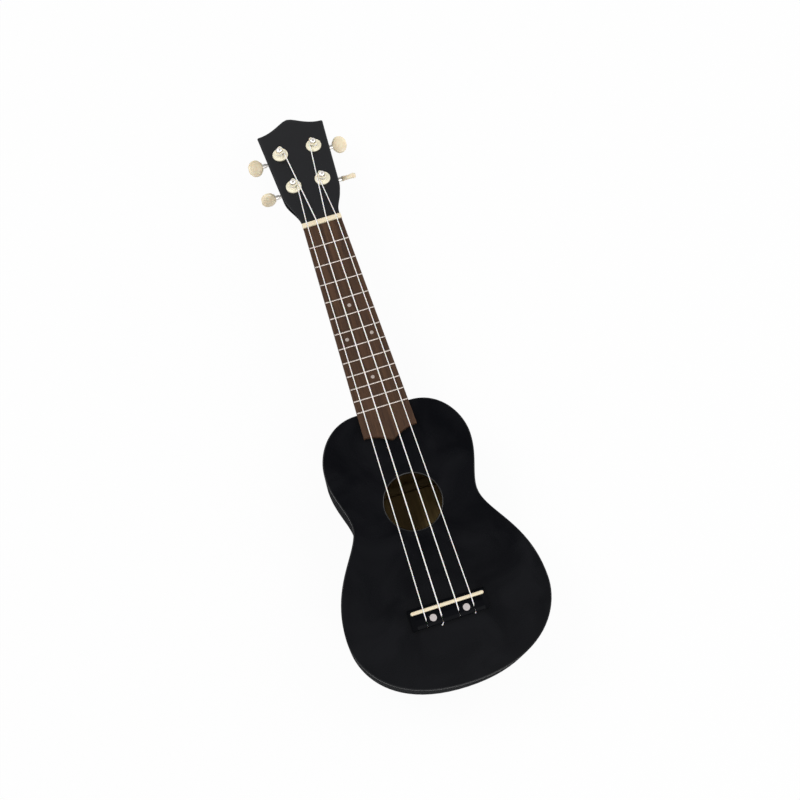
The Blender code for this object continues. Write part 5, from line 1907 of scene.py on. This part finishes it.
    def plate_screws(self) -> Piece:
        """The slotted screws that hold the plates."""
        pattern = Shape()
        radius, wall = self.plate_screw_radius, 0.0001
        profile = [(0.0, -0.0004), (radius, -0.0004), (radius, wall)]
        profile += [(radius * cosine, wall + 0.0008 * sine) for sine, cosine in quarter(6)[1:-1]]
        profile.append((0.0, 0.0009))
        pattern.lathe(profile, 28)
        slot = block((-0.003, -0.0002, 0.0005), (0.003, 0.0002, 0.003))
        head = cut(pattern.object("pattern", (), sharp=40.0), [slot])
        seats = []
        for tuner in self.tuners:
            for along, turn in self.plate_screws_at:
                seat = tuner.place @ Matrix.Translation((0, along, self.plate_back))
                seat @= Matrix.Rotation(math.pi, 4, "X")
                seat @= Matrix.Rotation(turn + tuner.number * 1.3, 4, "Z")
                seats.append(Seat(seat.translation, tuple(seat.to_euler())))
        return scattered("plate_screws", head, seats, self.paints.nickel)

    def post(self, tuner: Tuner) -> Piece:
        """The post, with its cross hole above the face and the slotted screw that holds the gear."""
        shoulder, tail_end = self.gear_front + self.clearance, self.gear_back - self.clearance
        shape = Shape()
        radius, top = self.post_radius, self.post_top
        profile = [(radius * sine, top - self.dome_height * (1 - cosine)) for sine, cosine in quarter(10)]
        profile += [(radius, shoulder), (self.tail_radius, shoulder), (self.tail_radius, tail_end)]
        for out, down in ((1.0, 0.0), (1.0, 0.5), (0.85, 0.85), (0.5, 1.0), (0.0, 1.0)):
            profile.append((self.screw_radius * out, tail_end - self.screw_height * down))
        shape.lathe(profile, 48)
        piece = shape.object(f"machine_post_{tuner.number}", (self.paints.post,), tuner.place, 35.0)
        across = tuner.place @ Matrix.Translation((0, 0, self.hole_height))
        across @= Matrix.Rotation(QUARTER, 4, "X")
        slot_top = tail_end - self.screw_height * 0.45
        slot = block((-0.004, -0.0003, tail_end - 0.004), (0.004, 0.0003, slot_top))
        slot.data.transform(tuner.place @ Matrix.Rotation(0.5 + tuner.number, 4, "Z"))
        return cut(piece, [rod(self.hole_radius, -0.006, 0.006, across, 20), slot])

    def gear(self, tuner: Tuner) -> Piece:
        """The gear, with slanted teeth that follow the worm's thread."""
        step = TURN / self.teeth
        slant = self.lead / (TURN * self.worm_pitch_radius) / self.pitch_radius
        tip, root = self.pitch_radius + self.tooth_height, self.pitch_radius - self.tooth_root
        corners = (
            (-self.root_share, root),
            (-self.tip_share, tip - self.tooth_round),
            (-self.tip_share * 0.6, tip),
            (self.tip_share * 0.6, tip),
            (self.tip_share, tip - self.tooth_round),
            (self.root_share, root),
        )
        shape = Shape()
        rings = []
        low, middle, high, edge = self.gear_back, self.worm_depth, self.gear_front, 0.0002
        heights = ((low, edge), (low + edge, 0.0), (middle - 0.0008, 0.0), (middle + 0.0008, 0.0))
        for height, shrink in (*heights, (high - edge, 0.0), (high, edge)):
            ring = []
            for tooth in range(self.teeth):
                for share, radius in corners:
                    turn = QUARTER + slant * (height - middle) + step * (tooth + share / 2)
                    reach = radius - shrink
                    ring.append((reach * math.cos(turn), reach * math.sin(turn), height))
            rings.append(shape.ring(ring))
        shape.loft(rings)
        piece = shape.object(f"machine_gear_{tuner.number}", (self.paints.nickel,), tuner.place, 30.0)
        return cut(piece, [rod(self.tail_radius + 0.0001, 2 * self.gear_back, 0.0, tuner.place, 32)])

    def key_place(self, tuner: Tuner) -> Matrix:
        """The worm's axis along X."""
        return tuner.place @ Matrix.Translation((0, self.worm_offset, self.worm_depth))

    def worm(self, tuner: Tuner) -> Piece:
        """The shaft with its thread between the plate's ears."""
        inner = self.plate_half + self.shaft_past_ear
        outer = self.button_from_post + self.bore_depth - self.clearance
        low, high = (-inner, outer) if tuner.side > 0 else (-outer, inner)
        shaft = Shape()
        radius, edge = self.shaft_radius, self.chamfer
        profile = [(0.0, low), (radius - edge, low), (radius, low + edge)]
        profile += [(radius, high - edge), (radius - edge, high), (0.0, high)]
        shaft.lathe(profile, 32)
        thick, near, root = self.collar_radius, self.button_from_post - 0.0001, radius - 0.0002
        far = near - self.collar_length
        collar = ((root, near), (thick, near), (thick, far + edge), (thick - edge, far), (root, far))
        shaft.lathe([(r, tuner.side * along) for r, along in collar], 32)
        turned = Matrix.Rotation(QUARTER, 4, "Y")
        shaft.points = [turned @ p for p in shaft.points]
        half_root, half_tip = self.lead * self.root_share / 2, self.lead * self.tip_share / 2
        tip = self.worm_pitch_radius + self.tooth_height
        reach = self.worm_length / 2 - half_root
        count = round(2 * reach / self.lead * self.thread_steps)
        rings = []
        for i in range(count + 1):
            x = -reach + 2 * reach * i / count
            turn = TURN * x / self.lead
            rise = ease(min(i, count - i) / self.run_out_steps)
            crest = radius + (tip - radius) * (0.15 + 0.85 * rise)
            section = ((-half_root, root), (-half_tip, crest), (half_tip, crest), (half_root, root))
            cosine, sine = math.cos(turn), math.sin(turn)
            rings.append(shaft.ring((x + away, r * cosine, r * sine) for away, r in section))
        shaft.loft(rings)
        name = f"machine_worm_{tuner.number}"
        return shaft.object(name, (self.paints.nickel,), self.key_place(tuner), 35.0)

    def button(self, tuner: Tuner) -> Piece:
        """The flattened button, waisted at its shaft and swelling to a thick end."""
        stations = smoothed([Vector(section) for section in self.sections], 4)
        start, end = stations[0], stations[-1]
        along, across, thick = self.end_round
        for sine, cosine in quarter(5)[1:-1]:
            stations.append(end + Vector((along * sine, across * (1 - cosine), thick * (1 - cosine))))
        longest = stations[-1].x
        stations.insert(0, Vector((start.x, start.y * 0.85, start.z * 0.9)))
        shape = Shape()
        rings = []
        power = self.squareness
        for station in stations:
            ring = []
            for i in range(self.button_sides):
                turn = TURN * i / self.button_sides
                flat, edge = math.cos(turn), math.sin(turn)
                y = math.copysign(abs(flat) ** power, flat) * self.button_width * station.y / 2
                z = math.copysign(abs(edge) ** power, edge) * self.button_thickness * station.z / 2
                along = self.button_from_post + self.button_length * station.x / longest
                ring.append((tuner.side * along, y, z))
            rings.append(shape.ring(ring))
        shape.loft(rings)
        place = self.key_place(tuner) @ Matrix.Rotation(tuner.roll, 4, "X")
        piece = shape.object(f"machine_button_{tuner.number}", (self.paints.pearl,), place, 60.0)
        ends = (self.button_from_post * 0.9, self.button_from_post + self.bore_depth)
        low, high = sorted(tuner.side * end for end in ends)
        turned = place @ Matrix.Rotation(QUARTER, 4, "Y")
        return cut(piece, [rod(self.shaft_radius + 0.0001, low, high, turned, 28)])


@dataclass
class Studio:
    """White seamless surroundings with soft light, and the camera."""

    camera_spot: Triple = (-0.07745, -0.16563, 1.15899)
    right: Triple = (0.952673, -0.303991, 0.001792)
    up: Triple = (0.292712, 0.918884, 0.264523)
    back: Triple = (-0.082059, -0.251479, 0.964378)
    lens: float = 61.035
    daylight: float = 0.45
    ceiling: float = 0.06
    ceiling_start: float = 0.67
    ceiling_end: float = 0.96
    behind: float = 1.5
    behind_start: float = -0.04
    behind_end: float = 0.09
    floor_size: float = 3.0
    floor_height: float = -0.0003
    lamps: tuple[tuple[str, Triple, float, float], ...] = (
        ("key", (-0.9, 0.9, 1.5), 0.9, 14.0),
        ("fill", (1.2, 0.2, 1.1), 0.9, 8.0),
        ("tail", (0.2, -1.3, 0.9), 0.7, 8.0),
    )
    lamp_target: Triple = (0.0, 0.09, 0.03)

    def build(self) -> None:
        """Builds the floor, the surroundings, the lamps and the camera."""
        self.floor()
        self.surroundings()
        for name, spot, size, power in self.lamps:
            self.lamp(name, spot, size, power)
        self.camera()

    def floor(self) -> None:
        """The pale floor under the instrument, white to the camera except for a faint shadow."""
        half, low = self.floor_size / 2, self.floor_height
        mesh = bpy.data.meshes.new("floor")
        corners = [(-half, -half, low), (half, -half, low), (half, half, low), (-half, half, low)]
        mesh.from_pydata(corners, [], [(0, 1, 2, 3)])
        made = in_scene("floor", mesh)
        paint = bpy.data.materials.new("white sweep")
        paint.use_nodes = True
        graph = NodeGraph(paint.node_tree)
        shader = paint.node_tree.nodes["Principled BSDF"]
        matt = {"Base Color": (0.8, 0.8, 0.8, 1.0), "Roughness": 0.9, "Specular IOR Level": 0.0}
        graph.feed(shader, matt)
        ray = graph.add("ShaderNodeLightPath")
        glow = graph.add("ShaderNodeEmission", {"Color": (1.0, 1.0, 1.0, 1.0), "Strength": 1.0})
        seen = graph.math("MAXIMUM", ray.outputs["Is Camera Ray"], ray.outputs["Is Transmission Ray"])
        share = graph.math("MULTIPLY", graph.math("MAXIMUM", seen, ray.outputs["Is Glossy Ray"]), 0.95)
        mixed = graph.add("ShaderNodeMixShader", {0: share, 1: shader.outputs[0], 2: glow.outputs[0]})
        graph.feed(paint.node_tree.nodes["Material Output"], {"Surface": mixed.outputs[0]})
        mesh.materials.append(paint)
        made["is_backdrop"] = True

    def surroundings(self) -> None:
        """White to the eye and in clear things, and dimmer as a light."""
        world = bpy.data.worlds.new("white room")
        world.use_nodes = True
        bpy.context.scene.world = world
        graph = NodeGraph(world.node_tree)
        shade = world.node_tree.nodes["Background"]
        ray = graph.add("ShaderNodeLightPath")
        heading = graph.add("ShaderNodeTexCoord").outputs["Generated"]
        part = graph.add("ShaderNodeSeparateXYZ", {"Vector": heading}).outputs
        walls = graph.span(part["Z"], self.ceiling_start, self.ceiling_end, (1.0, self.ceiling))
        behind = graph.span(part["Y"], self.behind_start, self.behind_end, (self.behind, self.ceiling))
        mirrored_room = graph.math("MAXIMUM", walls, behind)
        unseen = graph.blend_value(ray.outputs["Is Glossy Ray"], self.daylight, mirrored_room)
        seen = graph.math("MAXIMUM", ray.outputs["Is Camera Ray"], ray.outputs["Is Transmission Ray"])
        power = graph.blend_value(seen, unseen, 1.0)
        graph.feed(shade, {"Color": (1.0, 1.0, 1.0, 1.0), "Strength": power})

    def lamp(self, name: str, spot: Sequence[float], size: float, power: float) -> None:
        """A soft square lamp that faces the instrument.

        Args:
            name: The object's name.
            spot: Where it hangs.
            size: Its side.
            power: Its watts.
        """
        light = bpy.data.lights.new(name, "AREA")
        light.shape = "SQUARE"
        light.size = size
        light.energy = power
        made = in_scene(name, light)
        made.location = spot
        heading = Vector(self.lamp_target) - Vector(spot)
        made.rotation_euler = heading.to_track_quat("-Z", "Y").to_euler()

    def camera(self) -> None:
        """The camera that the picture is taken with."""
        view = bpy.data.cameras.new("camera")
        view.lens = self.lens
        view.sensor_width = 36.0
        made = in_scene("camera", view)
        place = Matrix.Identity(4)
        for column, axis in enumerate((self.right, self.up, self.back, self.camera_spot)):
            for row in range(3):
                place[row][column] = axis[row]
        made.matrix_world = place
        bpy.context.scene.camera = made


def write_size() -> None:
    """Gathers the model's box and the finished box into a table, which is neither kept nor written."""

    def plain(box: Sequence[Vector]) -> list[list[float]]:
        """A box as lists of numbers."""
        return [[float(number) for number in corner] for corner in box]

    {"cad": plain(CAD_BOX), "visual": plain(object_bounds())}


def main() -> None:
    """Builds every sub-assembly and the studio."""
    logging.basicConfig(level=logging.INFO, format="%(levelname)s %(message)s")
    bpy.context.scene.view_settings.view_transform = "Standard"
    paints = Paints()
    tuners = (
        Tuner(1, -1, 0.0133, 0.0427, math.radians(78.0)),
        Tuner(2, -1, 0.0156, 0.0802, math.radians(27.0)),
        Tuner(3, 1, 0.0156, 0.0802, math.radians(37.0)),
        Tuner(4, 1, 0.0133, 0.0427, math.radians(-53.0)),
    )
    neck = Neck(paints)
    bridge = Bridge(paints)
    strings = StringSet(paints, tuners, bridge)
    SoundBox(paints).build()
    neck.build([(tuner.side * tuner.x, tuner.y) for tuner in tuners])
    Fingerboard(paints, neck).build(strings.nut_x, strings.diameters)
    bridge.build(strings.saddle_x, strings.diameters)
    strings.build()
    TuningMachines(paints, tuners).build()
    Studio().build()
    write_size()


if __name__ == "__main__":
    main()
